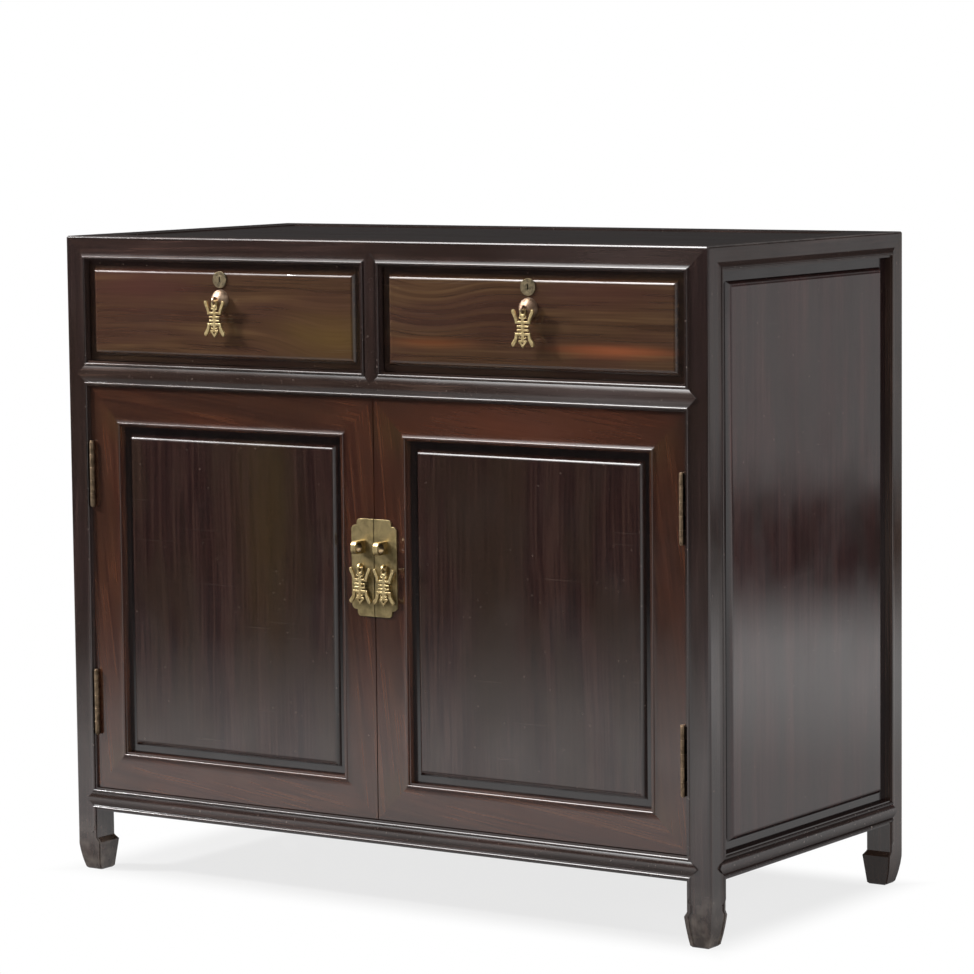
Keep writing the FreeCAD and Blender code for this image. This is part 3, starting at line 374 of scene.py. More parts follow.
print("a patch of drift is about", DRIFT_CELL[0], "by", DRIFT_CELL[1], "mm")

# %% [markdown]
# ### Wear, painted shade and a painted highlight on the wood
# Wear tells where hands, cloths and mops reach. The border round each field is darkened with painted shade.
# It starts just under the field's face and ends behind the recess.

# %% Painted shade in the recesses
RECESS_SHADE = "#120b0b"
RECESS_SHADE_ENDS = (0.003, 0.0018)


# Paints shade into a recess: the colour darkens between two depths along one axis.
def waxed(tree, colour, place, axis, clean, deep, most):
    axes = add(tree, "ShaderNodeSeparateXYZ", {"Vector": place}).outputs
    sunk = add(tree, "ShaderNodeMath", {0: axes[axis]}, operation="ABSOLUTE").outputs[0]
    painted_shade = add(tree, "ShaderNodeMapRange", {"Value": sunk, "From Min": clean, "From Max": deep,
                                            "To Min": 0.0, "To Max": most}).outputs["Result"]
    front = add(tree, "ShaderNodeMapRange", {"Value": sunk, "From Min": deep - RECESS_SHADE_ENDS[0],
                                             "From Max": deep - RECESS_SHADE_ENDS[1]}).outputs["Result"]
    held = add(tree, "ShaderNodeMath", {0: painted_shade, 1: front}, operation="MULTIPLY").outputs[0]
    return add(tree, "ShaderNodeMix", {"Factor": held, 6: colour, 7: linear(RECESS_SHADE)},
               data_type="RGBA").outputs[2]


# The printed depth is where the painted recess shade ends.
print("old wax ends", RECESS_SHADE_ENDS[0] * 1000, "mm behind a recess")

# %% [markdown]
# What stands proud is knocked, so the beads carry pale flecks a few millimetres long. A cloth and passing
# hands wear the outer arris pale, in patches, and the same pale patches paint the highlight of a rounded
# arris. Both look at the distance from a bead's face or from an edge's line, and break it up with a noise.

# %% Knocked beads, and rubbed arrises with a painted highlight
FLECK, FLECK_MM = "#a0938a", 4
ARRIS_WEAR_AND_HIGHLIGHT, ARRIS_WEAR_AND_HIGHLIGHT_MM = "#a3968d", 12
ARRIS = (0.0022, 0.0006)


def knocked(tree, colour, place, axis, face, crest):
    axes = add(tree, "ShaderNodeSeparateXYZ", {"Vector": place}).outputs
    high = add(tree, "ShaderNodeMapRange", {"Value": axes[axis], "From Min": face,
                                            "From Max": crest}).outputs["Result"]
    nicks = add(tree, "ShaderNodeTexNoise", {"Vector": place, "Scale": cells(FLECK_MM)[0], "Detail": 2.0})
    hit = add(tree, "ShaderNodeMapRange", {"Value": nicks.outputs["Fac"], "From Min": 0.66, "From Max": 0.74,
                                           "To Min": 0.0, "To Max": 0.6}).outputs["Result"]
    fleck = add(tree, "ShaderNodeMath", {0: high, 1: hit}, operation="MULTIPLY").outputs[0]
    return add(tree, "ShaderNodeMix", {"Factor": fleck, 6: colour, 7: linear(FLECK)},
               data_type="RGBA").outputs[2]


# Pale patches along an arris: rubbed wear and a painted highlight together.
def arris_wear_and_highlight(tree, colour, place, across, point):
    line = add(tree, "ShaderNodeMapping", {"Vector": place, "Scale": across}).outputs["Vector"]
    off = add(tree, "ShaderNodeVectorMath", {0: line, 1: point}, operation="DISTANCE").outputs["Value"]
    close = add(tree, "ShaderNodeMapRange", {"Value": off, "From Min": ARRIS[0],
                                             "From Max": ARRIS[1]}).outputs["Result"]
    patchy = add(tree, "ShaderNodeTexNoise", {"Vector": place, "Scale": cells(ARRIS_WEAR_AND_HIGHLIGHT_MM)[0],
                                              "Detail": 4.0}).outputs["Fac"]
    patch_share = add(tree, "ShaderNodeMapRange", {"Value": patchy, "From Min": 0.42, "From Max": 0.62,
                                            "To Min": 0.0, "To Max": 0.2}).outputs["Result"]
    pale = add(tree, "ShaderNodeMath", {0: close, 1: patch_share}, operation="MULTIPLY").outputs[0]
    return add(tree, "ShaderNodeMix", {"Factor": pale, 6: colour, 7: linear(ARRIS_WEAR_AND_HIGHLIGHT)},
               data_type="RGBA").outputs[2]


print("an arris is rubbed over", ARRIS[0] * 1000, "mm")

# %% [markdown]
# Mops and shoes leave the front feet grey and scuffed, most of all at the floor. Years of use leave a few
# fine scratches that cross the grain: a noise stretched to thin slanting lines, kept only where a slower
# noise lets it through. Real ones are thinner than the 1.1 mm given here, which is what the render can show.

# %% Scuffed feet and scratches
SCUFF, SCUFF_MM = "#857a70", 14
SCRATCH, SCRATCH_CELL, SCRATCH_TURN = "#93867c", (120, 120, 1.1), (0.5, 0.75, 0.3)
WORN_MM = 110


def scuffed(tree, colour, place, top):
    axes = add(tree, "ShaderNodeSeparateXYZ", {"Vector": place}).outputs
    low = add(tree, "ShaderNodeMapRange", {"Value": axes["Z"], "From Min": top, "From Max": 0.0})
    rubs = add(tree, "ShaderNodeTexNoise", {"Vector": place, "Scale": cells(SCUFF_MM)[0], "Detail": 4.0})
    grey = add(tree, "ShaderNodeMapRange", {"Value": rubs.outputs["Fac"], "From Min": 0.4, "From Max": 0.7,
                                            "To Min": 0.15, "To Max": 0.7}).outputs["Result"]
    share = add(tree, "ShaderNodeMath", {0: low.outputs["Result"], 1: grey}, operation="MULTIPLY").outputs[0]
    return add(tree, "ShaderNodeMix", {"Factor": share, 6: colour, 7: linear(SCUFF)},
               data_type="RGBA").outputs[2]


def scratched_over(tree, colour, place, most):
    askew = add(tree, "ShaderNodeMapping", {"Vector": place, "Rotation": SCRATCH_TURN,
                                            "Scale": cells(*SCRATCH_CELL)}).outputs["Vector"]
    mark = add(tree, "ShaderNodeTexNoise", {"Vector": askew, "Scale": 1.0, "Detail": 0.0}).outputs["Fac"]
    here = add(tree, "ShaderNodeTexNoise", {"Vector": place, "Scale": cells(WORN_MM)[0], "Detail": 1.0})
    cut = add(tree, "ShaderNodeMapRange", {"Value": mark, "From Min": 0.77, "From Max": 0.83,
                                           "To Min": 0.0, "To Max": most}).outputs["Result"]
    worn = add(tree, "ShaderNodeMapRange", {"Value": here.outputs["Fac"], "From Min": 0.5,
                                            "From Max": 0.58}).outputs["Result"]
    scratch = add(tree, "ShaderNodeMath", {0: cut, 1: worn}, operation="MULTIPLY").outputs[0]
    return add(tree, "ShaderNodeMix", {"Factor": scratch, 6: colour, 7: linear(SCRATCH)},
               data_type="RGBA").outputs[2]


print("scratches are drawn", SCRATCH_CELL[2], "mm wide")

# %% [markdown]
# A dark polish shows every speck of dust. Each cell of a Voronoi pattern has one speck at its middle, and a
# part of the cells, picked by their random colour, keeps it.

# %% Dust
DUST, DUST_MM, SPECK, BARE_CELLS = "#6d5f57", 11, 0.06, 0.62


def dusted(tree, colour, place):
    dust = add(tree, "ShaderNodeTexVoronoi", {"Vector": place, "Scale": cells(DUST_MM)[0]}).outputs
    small = add(tree, "ShaderNodeMath", {0: dust["Distance"], 1: SPECK}, operation="LESS_THAN").outputs[0]
    some = add(tree, "ShaderNodeMath", {0: dust["Color"], 1: BARE_CELLS},
               operation="GREATER_THAN").outputs[0]
    speck = add(tree, "ShaderNodeMath", {0: small, 1: some}, operation="MULTIPLY").outputs[0]
    return add(tree, "ShaderNodeMix", {"Factor": speck, 6: colour, 7: linear(DUST)},
               data_type="RGBA").outputs[2]


print("a speck is about", round(2 * SPECK * DUST_MM, 1), "mm across")

# %% [markdown]
# ### The finished board
# A board's material puts these together: grain, colours, pores, wear, painted shade, a painted highlight,
# dust, and a waxed surface that is glossier in some places than in others. What is given for the recess, the
# beads, the arris and the feet goes on to the function above that draws it: painted recess shade, knocks, wear
# with a painted highlight, and scuffs. Dense tropical hardwood with wax has an IOR of about 1.55.

# %% Hardwood
PORE = "#140d0c"
HARDWOOD_IOR = 1.55
GLOSSIER, DULLER = 0.03, 0.05


def hardwood(name, along, shades, rough=0.15, wax=1.0, tilt=0.0, hearts=(), fine=0.35, reach=0.16,
             drift=None, zones=(), pored=0.14, recess_shade=None, proud=None, rubbed=(), dusty=None, scratched=0.0):
    material, tree = new_material(name)
    place = add(tree, "ShaderNodeTexCoord").outputs["Object"]
    grain = grain_lines(tree, place, along, tilt, hearts)
    layer = grain_layers(tree, grain)
    colour = growth_colour(tree, layer, shades, fine, reach)
    if drift:
        colour = drifted(tree, colour, grain, *drift)
    for zone in zones:
        colour = zoned(tree, colour, place, layer["band"], *zone)
    pores = add(tree, "ShaderNodeMapRange", {"Value": layer["pore"], "From Min": 0.52, "From Max": 0.72,
                                             "To Min": 0.0, "To Max": pored}).outputs["Result"]
    colour = add(tree, "ShaderNodeMix", {"Factor": pores, 6: colour, 7: linear(PORE)},
                 data_type="RGBA").outputs[2]
    if recess_shade:
        colour = waxed(tree, colour, place, *recess_shade)
    if proud:
        colour = knocked(tree, colour, place, *proud)
    for arris in rubbed:
        colour = arris_wear_and_highlight(tree, colour, place, *arris)
    if dusty:
        colour = scuffed(tree, colour, place, dusty)
    if scratched:
        colour = scratched_over(tree, colour, place, scratched)
    colour = dusted(tree, colour, place)
    shine = add(tree, "ShaderNodeMapRange", {"Value": layer["haze"], "From Min": 0.3, "From Max": 0.7,
                                             "To Min": rough - GLOSSIER, "To Max": rough + DULLER})
    height = add(tree, "ShaderNodeMath", {0: layer["line"], 1: pores}, operation="SUBTRACT").outputs[0]
    relief = add(tree, "ShaderNodeBump", {"Height": height, "Strength": 0.08, "Distance": 0.0002})
    wood = add(tree, "ShaderNodeBsdfPrincipled", {"Base Color": colour, "Roughness": shine.outputs["Result"],
                                                  "IOR": HARDWOOD_IOR, "Specular IOR Level": wax,
                                                  "Normal": relief.outputs["Normal"]})
    add(tree, "ShaderNodeOutputMaterial", {"Surface": wood.outputs[0]})
    return material


print("waxed hardwood has an IOR of", HARDWOOD_IOR)

# %% [markdown]
# A material goes on a CAD node through the node's material slots, and the mesh stays as it is.

# %% Dress a node
def dress(material, *names):
    for name in names:
        for slot in nodes[name].material_slots:
            slot.material = material
    print(material.name, "on", len(names), "nodes")


print("slots to fill:", sum(len(node.material_slots) for node in nodes.values()))

# %% [markdown]
# ### Posts, rails and top
# First the places where these boards wear, read from the frame. The beads stand 2.5 mm proud of the faces,
# and their knocks begin at one depth under the crest and are full at another. The arris between the faces
# and the top is rubbed and painted with a highlight. A foot is scuffed up to just under the bottom rail.

# %% Places of wear and of the painted arris highlight
BEAD = 0.0025
FRONT_KNOCKS, SIDE_KNOCKS = (0.00155, 0.00025), (0.0017, 0.0005)
FOOT = 0.07
bead_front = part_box("top_rail_front")[0].y
bead_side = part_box("top_rail_right")[1].x
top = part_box("top_rail_front")[1].z
front_bead = ("Y", bead_front + FRONT_KNOCKS[0], bead_front + FRONT_KNOCKS[1])
side_bead = ("X", bead_side - SIDE_KNOCKS[0], bead_side - SIDE_KNOCKS[1])
# The top arrises get rubbed wear and a painted highlight.
front_arris = ((0, 1, 1), (0, bead_front + BEAD, top))
side_arris = ((1, 0, 1), (bead_side - BEAD, 0, top))
print("beads reach", round(bead_front, 5), "and", round(bead_side, 5))

# %% [markdown]
# The posts and rails are the darkest boards, nearly black with a grey sheen. Their grain follows each
# member, so there is one material for each direction. The top and bottom rails are a little paler. The middle
# rail and the right-hand back post are paler still, which is painted sheen, and the top and middle front
# rails turn grey towards the right, which is a painted reflection.

# %% Frame boards
frame_boards = {"shades": ("#251a18", "#2e211f", "#3c2c28"), "drift": ("#2b1f1a", 0.7), "fine": 0.5,
                "pored": 0.22, "reach": 0.12}
rail_boards = {**frame_boards, "shades": ("#2b1f1c", "#372824", "#47342e")}
# A paler copy of the frame boards: painted sheen for the middle rail and the right-hand back post.
sheen_painted_boards = {**frame_boards, "shades": ("#31241f", "#3d2e28", "#4b3a32")}
# Grey patches on the right of the top and middle front rails: painted reflection.
painted_sheen_top_right = [((0.34, -0.2, 0.735), (0.22, 0.1, 0.04), "#4a3e3b", 0.6)]
painted_sheen_middle_right = [((0.30, -0.2, 0.583), (0.28, 0.1, 0.04), "#544a48", 0.7)]
dress(hardwood("dark_hardwood_upright", "z", proud=front_bead, **frame_boards),
      "post_back_left", "drawer_muntin")
dress(hardwood("scuffed_hardwood_upright", "z", proud=front_bead, dusty=FOOT, **frame_boards),
      "post_front_left", "post_front_right")
dress(hardwood("sheen_painted_hardwood_upright", "z", **sheen_painted_boards), "post_back_right")
dress(hardwood("dark_hardwood_across", "x", proud=front_bead, rubbed=[front_arris], zones=painted_sheen_top_right,
               **rail_boards),
      "top_rail_front", "top_rail_back", "bottom_rail_front", "bottom_rail_back")
dress(hardwood("dark_hardwood_middle", "x", proud=front_bead, zones=painted_sheen_middle_right, **sheen_painted_boards),
      "mid_rail_front")
dress(hardwood("dark_hardwood_deep", "y", proud=side_bead, rubbed=[side_arris], **frame_boards),
      "top_rail_left", "top_rail_right", "bottom_rail_left", "bottom_rail_right")
dress(hardwood("top_hardwood", "x", rough=0.11, wax=0.8, **frame_boards), "top_panel")

# %% [markdown]
# ### Side panels
# Each side is one wide board with upright grain, redder than the frame and polished the most, so the studio
# shows in it almost as in a mirror. Painted shade darkens it from 1 to 4 mm under the face of its field.

# %% Side panels
SIDE_SHADE_DEPTHS = (0.001, 0.004)
side_boards = {"shades": ("#2e1b1b", "#3b2524", "#482f2b"), "drift": ("#2f2422", 0.7), "fine": 0.55,
               "pored": 0.3, "reach": 0.11, "scratched": 0.1, "rough": 0.1}
side_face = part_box("side_panel_right")[1].x
# Painted shade for the recess round each side field.
side_recess_shade = ("X", side_face - SIDE_SHADE_DEPTHS[0], side_face - SIDE_SHADE_DEPTHS[1], 0.85)
dress(hardwood("side_hardwood", "z", recess_shade=side_recess_shade, **side_boards),
      "side_panel_left", "side_panel_right")

# %% [markdown]
# ### Door frames
# The door frames are redder, with lighter streaks. The stiles turn olive towards their ends and the rails do
# not, so the mitres show as a change of colour. The right-hand top rail is the reddest. The grain of each
# leans a little, as it does in boards that were sawn from a curved trunk.

# %% Door frames
SIDES = ("left", "right")
door_frames = {"shades": ("#341a13", "#46271b", "#553322"), "drift": ("#311e16", 0.6), "fine": 0.5,
               "reach": 0.15}
olive_ends = [((x, -0.2, z), (0.05, 0.1, 0.05), "#46351f", 0.5)
              for x in (-0.36, 0.03, 0.36) for z in (0.13, 0.54)]
red_rail = [((0.20, -0.2, 0.548), (0.26, 0.1, 0.05), "#5f3626", 0.65)]
stiles = hardwood("door_frame_upright", "z", zones=olive_ends, tilt=0.1, **door_frames)
rails = hardwood("door_frame_across", "x", zones=red_rail, tilt=-0.12, **door_frames)
for side in SIDES:
    door = "door_" + side + "_"
    dress(stiles, door + "stile_hinge", door + "stile_meeting")
    dress(rails, door + "rail_top", door + "rail_bottom")

# %% [markdown]
# ### Door panels
# Each panel is one plain board with upright grain, aubergine with an olive band a little right of its
# middle, and its recessed border is darkened with painted shade.

# %% Door panels
FRONT_SHADE_DEPTHS = (0.00125, 0.00405)
door_boards = {"shades": ("#221210", "#2e1b18", "#3c2822"), "drift": ("#30231a", 0.6), "fine": 0.6,
               "pored": 0.35, "reach": 0.10, "scratched": 0.1}
panel_face = -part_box("door_left_panel")[0].y
# Painted shade for the recessed border round each door panel's field.
panel_recess_shade = ("Y", panel_face - FRONT_SHADE_DEPTHS[0], panel_face - FRONT_SHADE_DEPTHS[1], 0.75)
olive_bands = {"left": [((-0.155, -0.2, 0.42), (0.07, 0.1, 0.3), "#3b2d19", 0.75)],
               "right": [((0.16, -0.2, 0.34), (0.06, 0.1, 0.4), "#33251c", 0.5)]}
for side, band in olive_bands.items():
    dress(hardwood("door_" + side + "_hardwood", "z", zones=band, recess_shade=panel_recess_shade, **door_boards),
          "door_" + side + "_panel")

# %% [markdown]
# ### Drawer fronts
# The drawer fronts are the liveliest boards: gold and olive with a purple cast at the upper corners, orange
# streaks low on the right one, and a branch on each beside the muntin that the lines flow round.

# %% Drawer fronts
drawer_boards = {"shades": ("#3f2a1d", "#4e3726", "#5f462f"), "drift": ("#452c24", 0.6), "pored": 0.08,
                 "reach": 0.12, "scratched": 0.12}
drawer_face = -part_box("drawer_left_front")[0].y
# Painted shade for the recessed border round each drawer front's field.
drawer_recess_shade = ("Y", drawer_face - FRONT_SHADE_DEPTHS[0], drawer_face - FRONT_SHADE_DEPTHS[1], 0.65)
branches = {"left": [((-0.05, -0.2, 0.595), (0.15, 0.1, 0.12), 0.022)],
            "right": [((0.075, -0.2, 0.680), (0.11, 0.1, 0.07), 0.012)]}
streaks = {"left": [((-0.33, -0.2, 0.70), (0.13, 0.1, 0.05), "#50302a", 0.75),
                    ((-0.05, -0.2, 0.64), (0.14, 0.1, 0.05), "#604a26", 0.7)],
           "right": [((0.30, -0.2, 0.70), (0.14, 0.1, 0.04), "#4c2f28", 0.7),
                     ((0.08, -0.2, 0.637), (0.10, 0.1, 0.010), "#784628", 0.6),
                     ((0.32, -0.2, 0.634), (0.12, 0.1, 0.012), "#925232", 0.8)]}
for side in SIDES:
    dress(hardwood("drawer_" + side + "_hardwood", "x", hearts=branches[side], zones=streaks[side],
                   recess_shade=drawer_recess_shade, **drawer_boards), "drawer_" + side + "_front")

# %% [markdown]
# ### Inside boards
# What the doors and drawers hide is a plainer, paler timber, planed but not polished.

# %% Inside boards
inner = {"shades": ("#5a4230", "#7a5f45", "#937657"), "rough": 0.5, "wax": 0.5}
dress(hardwood("inner_board_deep", "y", **inner), "drawer_left_sides", "drawer_right_sides",
      "drawer_left_bottom", "drawer_right_bottom", "side_cleats", "drawer_board")
dress(hardwood("inner_board_across", "x", **inner), "drawer_left_back", "drawer_right_back", "shelf",
      "bottom_board")
dress(hardwood("back_board", "z", **inner), "back_panel")

# %% [markdown]
# ## The brass
# The fittings are cut from sheet brass or cast, once polished and now dulled by handling. To the eye it is a
# warm soft mirror with cloudy brown tarnish, and bright where a hand or a cloth keeps rubbing the edges. The
# Bevel node gives a rounded normal, and where that differs from the flat one there is an edge.

# %% Tarnish and rubbed edges
EDGE_ROUND = 0.0008


def tarnish_cover(tree, place, rounded, patch_mm, share):
    cloud = add(tree, "ShaderNodeTexNoise", {"Vector": place, "Scale": cells(patch_mm)[0], "Detail": 4.0,
                                             "Distortion": 0.4}).outputs["Fac"]
    dull = add(tree, "ShaderNodeMapRange", {"Value": cloud, "From Min": 0.62 - share * 0.3, "From Max": 0.62,
                                            "To Min": 0.0, "To Max": 0.9}).outputs["Result"]
    flat = add(tree, "ShaderNodeNewGeometry").outputs["Normal"]
    turned = add(tree, "ShaderNodeVectorMath", {0: rounded, 1: flat}, operation="DOT_PRODUCT")
    edge = add(tree, "ShaderNodeMapRange", {"Value": turned.outputs["Value"], "From Min": 0.99,
                                            "From Max": 0.8, "To Min": 0.0, "To Max": 0.6}).outputs["Result"]
    return add(tree, "ShaderNodeMath", {0: dull, 1: edge}, operation="SUBTRACT", use_clamp=True).outputs[0]


print("edges are rubbed bright over", EDGE_ROUND * 1000, "mm")

# %% [markdown]
# Two places are painted dark as shade: the hinge barrel where it stands in the gap by the post, and the
# inside of the bore across a padlock lug.

# %% Painted shade on the brass
HINGE_GAP_SHADE, BORE_SHADE = "#1a1410", "#2a1c12"


# Painted shade on the part of a hinge barrel that stands in the gap by the post.
def hinge_gap_shaded(tree, colour, place, barrel_side, leaf_front):
    axes = add(tree, "ShaderNodeSeparateXYZ", {"Vector": place}).outputs
    aside = add(tree, "ShaderNodeMath", {0: axes["X"]}, operation="ABSOLUTE").outputs[0]
    past = add(tree, "ShaderNodeMapRange", {"Value": aside, "From Min": barrel_side - 0.0004,
                                            "From Max": barrel_side}).outputs["Result"]
    barrel = add(tree, "ShaderNodeMath", {0: axes["Y"], 1: leaf_front}, operation="LESS_THAN").outputs[0]
    painted_shade = add(tree, "ShaderNodeMath", {0: past, 1: barrel}, operation="MULTIPLY").outputs[0]
    return add(tree, "ShaderNodeMix", {"Factor": painted_shade, 6: colour, 7: linear(HINGE_GAP_SHADE)},
               data_type="RGBA").outputs[2]


# Painted shade inside the bore across a lug.
def bore_shaded(tree, colour, place, centre, radius):
    line = add(tree, "ShaderNodeMapping", {"Vector": place, "Scale": (0, 1, 1)}).outputs["Vector"]
    off = add(tree, "ShaderNodeVectorMath", {0: line, 1: centre}, operation="DISTANCE").outputs["Value"]
    inside = add(tree, "ShaderNodeMapRange", {"Value": off, "From Min": radius + 0.0005, "From Max": radius,
                                              "To Min": 0.0, "To Max": 0.9}).outputs["Result"]
    return add(tree, "ShaderNodeMix", {"Factor": inside, 6: colour, 7: linear(BORE_SHADE)},
               data_type="RGBA").outputs[2]


# Painted shade goes on the hinges and the lugs.
print("dirt is added to hinges and lugs")

# %% [markdown]
# The finished brass is a metal whose tarnish is both browner and rougher than the bare metal, with a fine
# grit from casting and rubbing.

# %% Brass
GRIT_MM = 1.6


def brass(name, bright, tarnish, rough, patch_mm, share, hinge=None, bore=None):
    material, tree = new_material(name)
    place = add(tree, "ShaderNodeTexCoord").outputs["Object"]
    rounded = add(tree, "ShaderNodeBevel", {"Radius": EDGE_ROUND}, samples=4).outputs["Normal"]
    cover = tarnish_cover(tree, place, rounded, patch_mm, share)
    colour = add(tree, "ShaderNodeMix", {"Factor": cover, 6: linear(bright), 7: linear(tarnish)},
                 data_type="RGBA").outputs[2]
    if hinge:
        colour = hinge_gap_shaded(tree, colour, place, *hinge)
    if bore:
        colour = bore_shaded(tree, colour, place, *bore)
    shine = add(tree, "ShaderNodeMapRange", {"Value": cover, "From Min": 0.0, "From Max": 1.0,
                                             "To Min": rough, "To Max": rough + 0.15}).outputs["Result"]
    grit = add(tree, "ShaderNodeTexNoise", {"Vector": place, "Scale": cells(GRIT_MM)[0], "Detail": 2.0})
    relief = add(tree, "ShaderNodeBump", {"Height": grit.outputs["Fac"], "Normal": rounded, "Strength": 0.15,
                                          "Distance": 0.0002}).outputs["Normal"]
    metal = add(tree, "ShaderNodeBsdfPrincipled", {"Base Color": colour, "Roughness": shine,
                                                   "Normal": relief, "Metallic": 1.0})
    add(tree, "ShaderNodeOutputMaterial", {"Surface": metal.outputs[0]})
    return material


print("casting grit is drawn", GRIT_MM, "mm wide")

# %% [markdown]
# Each fitting has its own age. Cast pendants and lugs are the palest, the sheet of the face plates is
# duller, the hinges are brown, the domes of the bosses have a whitish shine, and the lock faces are dark
# with handling. The places of the painted shade come from the frame: the side of the hinge barrels that
# faces the post, and the middle of the bore across a lug.

# %% Brass fittings
BORE, BORE_DEEP = 0.0053, 0.007
BARREL_GAP, BARREL_DEEP = 0.0005, 0.00685
leaf_low, leaf_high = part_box("door_right_hinge_leaves")
barrel_shade_place = (leaf_high.x - BARREL_GAP, leaf_low.y + BARREL_DEEP)
lug_low, lug_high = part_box("door_left_lug")
lug_bore = ((0, lug_low.y + BORE_DEEP, (lug_low.z + lug_high.z) / 2), BORE)
pendant_brass = brass("cast_brass", "#e2cc98", "#8b7650", 0.4, 9, 0.7)
# The inside of the lug's bore gets painted shade.
lug_brass = brass("lug_brass", "#e2cc98", "#8b7650", 0.4, 9, 0.7, bore=lug_bore)
plate_brass = brass("sheet_brass", "#ae9c72", "#706346", 0.42, 14, 0.9)
# The hinge barrels get painted shade where they stand in the gap by the post.
hinge_brass = brass("dull_brass", "#a08970", "#605141", 0.42, 8, 0.9, hinge=barrel_shade_place)
dome_brass = brass("white_brass", "#b79d86", "#7a6352", 0.42, 9, 0.6)
lock_brass = brass("dark_brass", "#8b7d63", "#4a4234", 0.45, 5, 0.9)
for side in SIDES:
    door, drawer = "door_" + side + "_", "drawer_" + side + "_"
    dress(pendant_brass, drawer + "pendant", door + "pendant", door + "pull_eye")
    dress(lug_brass, door + "lug")
    dress(plate_brass, door + "face_plate")
    dress(hinge_brass, door + "hinge_leaves")
    dress(dome_brass, drawer + "pull_boss")
    dress(lock_brass, drawer + "lock_case", drawer + "lock_plug")
dress(hinge_brass, "hinge_post_leaves", "hinge_pins")

# %% [markdown]
# ## Hinge screws
# Each hinge leaf is held by three small countersunk brass screws with slotted heads, which show only when a
# door stands open. They repeat, so Geometry Nodes make them. First the head: two half discs with the slot
# between them. One half disc is an arc filled and extruded a little, closed from below, and the other half
# is a copy of it turned half round.

# %% Screw head
ARC_POINTS = 13


def screw_head(tree, given):
    rim = add(tree, "GeometryNodeCurveArc", {"Resolution": ARC_POINTS, "Radius": given["Head Radius"],
                                             "Sweep Angle": math.pi, "Connect Center": True})
    rim = rim.outputs["Curve"]
    flat = add(tree, "GeometryNodeFillCurve", {"Curve": rim}).outputs["Mesh"]
    raised = add(tree, "GeometryNodeExtrudeMesh", {"Mesh": flat, "Offset Scale": given["Head Height"],
                                                   "Individual": False}).outputs["Mesh"]
    under = add(tree, "GeometryNodeFlipFaces", {"Mesh": flat}).outputs["Mesh"]
    shell = add(tree, "GeometryNodeJoinGeometry")
    tree.links.new(raised, shell.inputs[0])
    tree.links.new(under, shell.inputs[0])
    closed = add(tree, "GeometryNodeMergeByDistance", {"Geometry": shell.outputs[0], "Distance": 1e-6})
    gap = add(tree, "ShaderNodeMath", {0: given["Slot Width"], 1: 0.5}, operation="MULTIPLY").outputs[0]
    apart = add(tree, "ShaderNodeCombineXYZ", {"Y": gap}).outputs["Vector"]
    upper = add(tree, "GeometryNodeTransform", {"Geometry": closed.outputs[0],
                                                "Translation": apart}).outputs[0]
    lower = add(tree, "GeometryNodeTransform", {"Geometry": upper, "Rotation": (0, 0, math.pi)}).outputs[0]
    head = add(tree, "GeometryNodeJoinGeometry")
    tree.links.new(upper, head.inputs[0])
    tree.links.new(lower, head.inputs[0])
    return head.outputs[0]


print("half a head has", ARC_POINTS, "points on its rim")

# %% [markdown]
# Then the rows: every hinge leaf is one point, the tree copies it three times along the leaf, puts a head on
# each copy and turns its slot at random from a fixed seed.

# %% Screw tree
SCREWS_ON_LEAF = 3


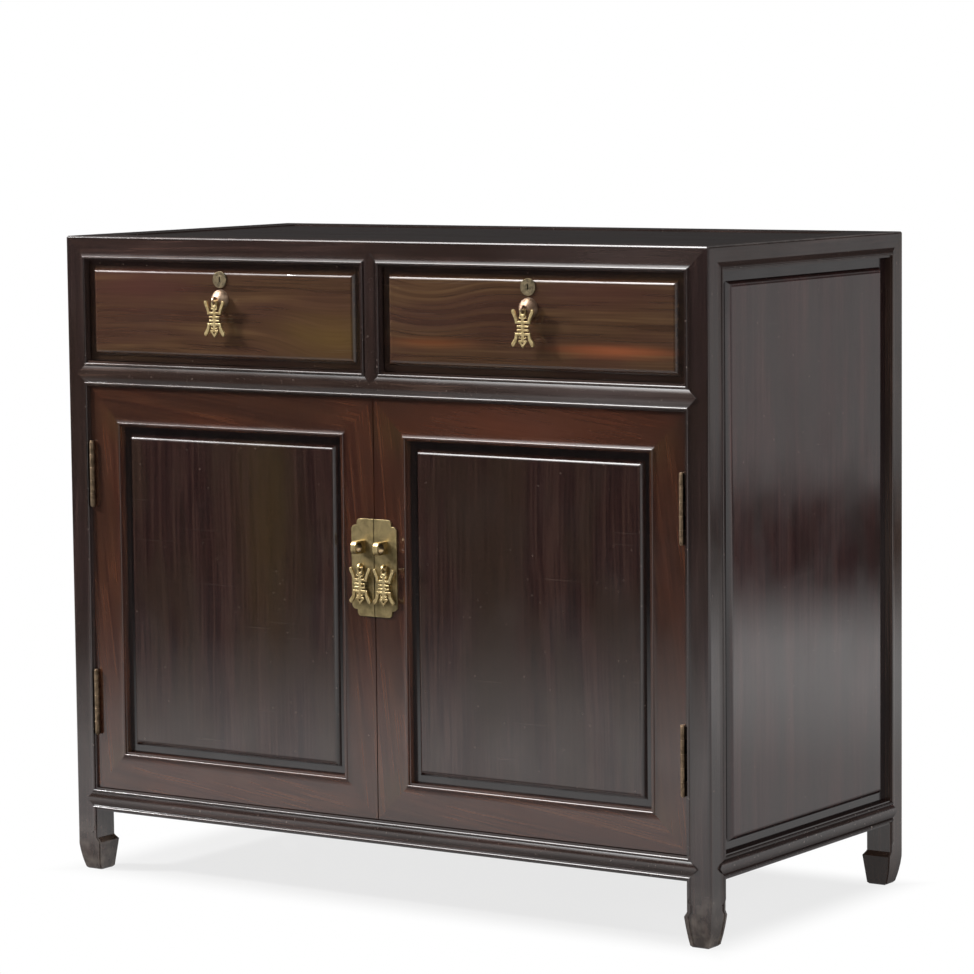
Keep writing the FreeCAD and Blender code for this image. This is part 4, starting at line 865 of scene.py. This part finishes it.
def screw_tree():
    tree = bpy.data.node_groups.new("hinge_screws", "GeometryNodeTree")
    tree.interface.new_socket("Geometry", in_out="INPUT", socket_type="NodeSocketGeometry")
    for title in ("Head Radius", "Slot Width", "Head Height", "Spacing"):
        tree.interface.new_socket(title, in_out="INPUT", socket_type="NodeSocketFloat")
    tree.interface.new_socket("Finish", in_out="INPUT", socket_type="NodeSocketMaterial")
    tree.interface.new_socket("Geometry", in_out="OUTPUT", socket_type="NodeSocketGeometry")
    given = add(tree, "NodeGroupInput").outputs
    copies = add(tree, "GeometryNodeDuplicateElements", {"Geometry": given["Geometry"],
                                                         "Amount": SCREWS_ON_LEAF}, domain="POINT").outputs
    step = add(tree, "ShaderNodeMath", {0: copies["Duplicate Index"], 1: (SCREWS_ON_LEAF - 1) / 2},
               operation="SUBTRACT").outputs[0]
    rise = add(tree, "ShaderNodeMath", {0: step, 1: given["Spacing"]}, operation="MULTIPLY").outputs[0]
    move = add(tree, "ShaderNodeCombineXYZ", {"Z": rise}).outputs["Vector"]
    spots = add(tree, "GeometryNodeSetPosition", {"Geometry": copies["Geometry"], "Offset": move}).outputs[0]
    facing = add(tree, "GeometryNodeInputNamedAttribute", {"Name": "facing"}, data_type="FLOAT").outputs[0]
    lean = add(tree, "ShaderNodeMath", {0: facing, 1: math.pi / 2}, operation="MULTIPLY").outputs[0]
    tilt = add(tree, "ShaderNodeCombineXYZ", {"Y": lean}).outputs["Vector"]
    screws = add(tree, "GeometryNodeInstanceOnPoints", {"Points": spots, "Instance": screw_head(tree, given),
                                                        "Rotation": tilt}).outputs[0]
    chance = add(tree, "FunctionNodeRandomValue", {"Min": 0.0, "Max": math.pi, "Seed": 7}, data_type="FLOAT")
    spin = add(tree, "ShaderNodeCombineXYZ", {"Z": chance.outputs[1]}).outputs["Vector"]
    turned = add(tree, "GeometryNodeRotateInstances", {"Instances": screws, "Rotation": spin,
                                                       "Local Space": True}).outputs[0]
    real = add(tree, "GeometryNodeRealizeInstances", {"Geometry": turned}).outputs[0]
    done = add(tree, "GeometryNodeSetMaterial", {"Geometry": real, "Material": given["Finish"]}).outputs[0]
    tree.links.new(done, add(tree, "NodeGroupOutput").inputs[0])
    return tree


screws = screw_tree()
print("screw tree has", len(screws.nodes), "nodes")

# %% [markdown]
# The points sit on the open faces of the leaves, on the posts and on the doors, at the middle of each hinge
# and 7.35 mm from the leaf's back edge, with the way the face looks as an attribute. The result becomes a
# plain mesh, one for each body, that rides on it.

# %% Screws on the leaves
sizes = {"Head Radius": 0.0026, "Slot Width": 0.0007, "Head Height": 0.00015, "Spacing": 0.024,
         "Finish": hinge_brass}
LEAF, LEAF_MIDDLE, HALF_HINGE = 0.0015, 0.00735, 0.0375
post_low, post_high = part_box("hinge_post_leaves")
post_face = post_high.x - LEAF
door_face = leaf_high.x
leaf_y = post_high.y - LEAF_MIDDLE
hinge_heights = (post_low.z + HALF_HINGE, post_high.z - HALF_HINGE)
leaf_points = {"carcass": [(side * post_face, -side) for side in (-1, 1)],
               "door_left": [(-door_face, -1)], "door_right": [(door_face, 1)]}
for body, faces in leaf_points.items():
    seats = bpy.data.meshes.new(body + "_leaf_points")
    points = [(x, leaf_y, z, looks) for x, looks in faces for z in hinge_heights]
    seats.from_pydata([point[:3] for point in points], [], [])
    facing = seats.attributes.new("facing", "FLOAT", "POINT")
    facing.data.foreach_set("value", [point[3] for point in points])
    maker = bpy.data.objects.new(body + "_screw_maker", seats)
    bpy.context.collection.objects.link(maker)
    modifier = maker.modifiers.new("screws", "NODES")
    modifier.node_group = screws
    for item in screws.interface.items_tree:
        if item.in_out == "INPUT" and item.name in sizes:
            modifier[item.identifier] = sizes[item.name]
    ready = maker.evaluated_get(bpy.context.evaluated_depsgraph_get())
    mesh = bpy.data.meshes.new_from_object(ready)
    maker.modifiers.remove(modifier)
    bpy.data.objects.remove(maker)
    piece = bpy.data.objects.new(body + "_hinge_screws", mesh)
    bpy.context.collection.objects.link(piece)
    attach(piece, body)
    print(piece.name, "has", len(mesh.polygons), "faces")
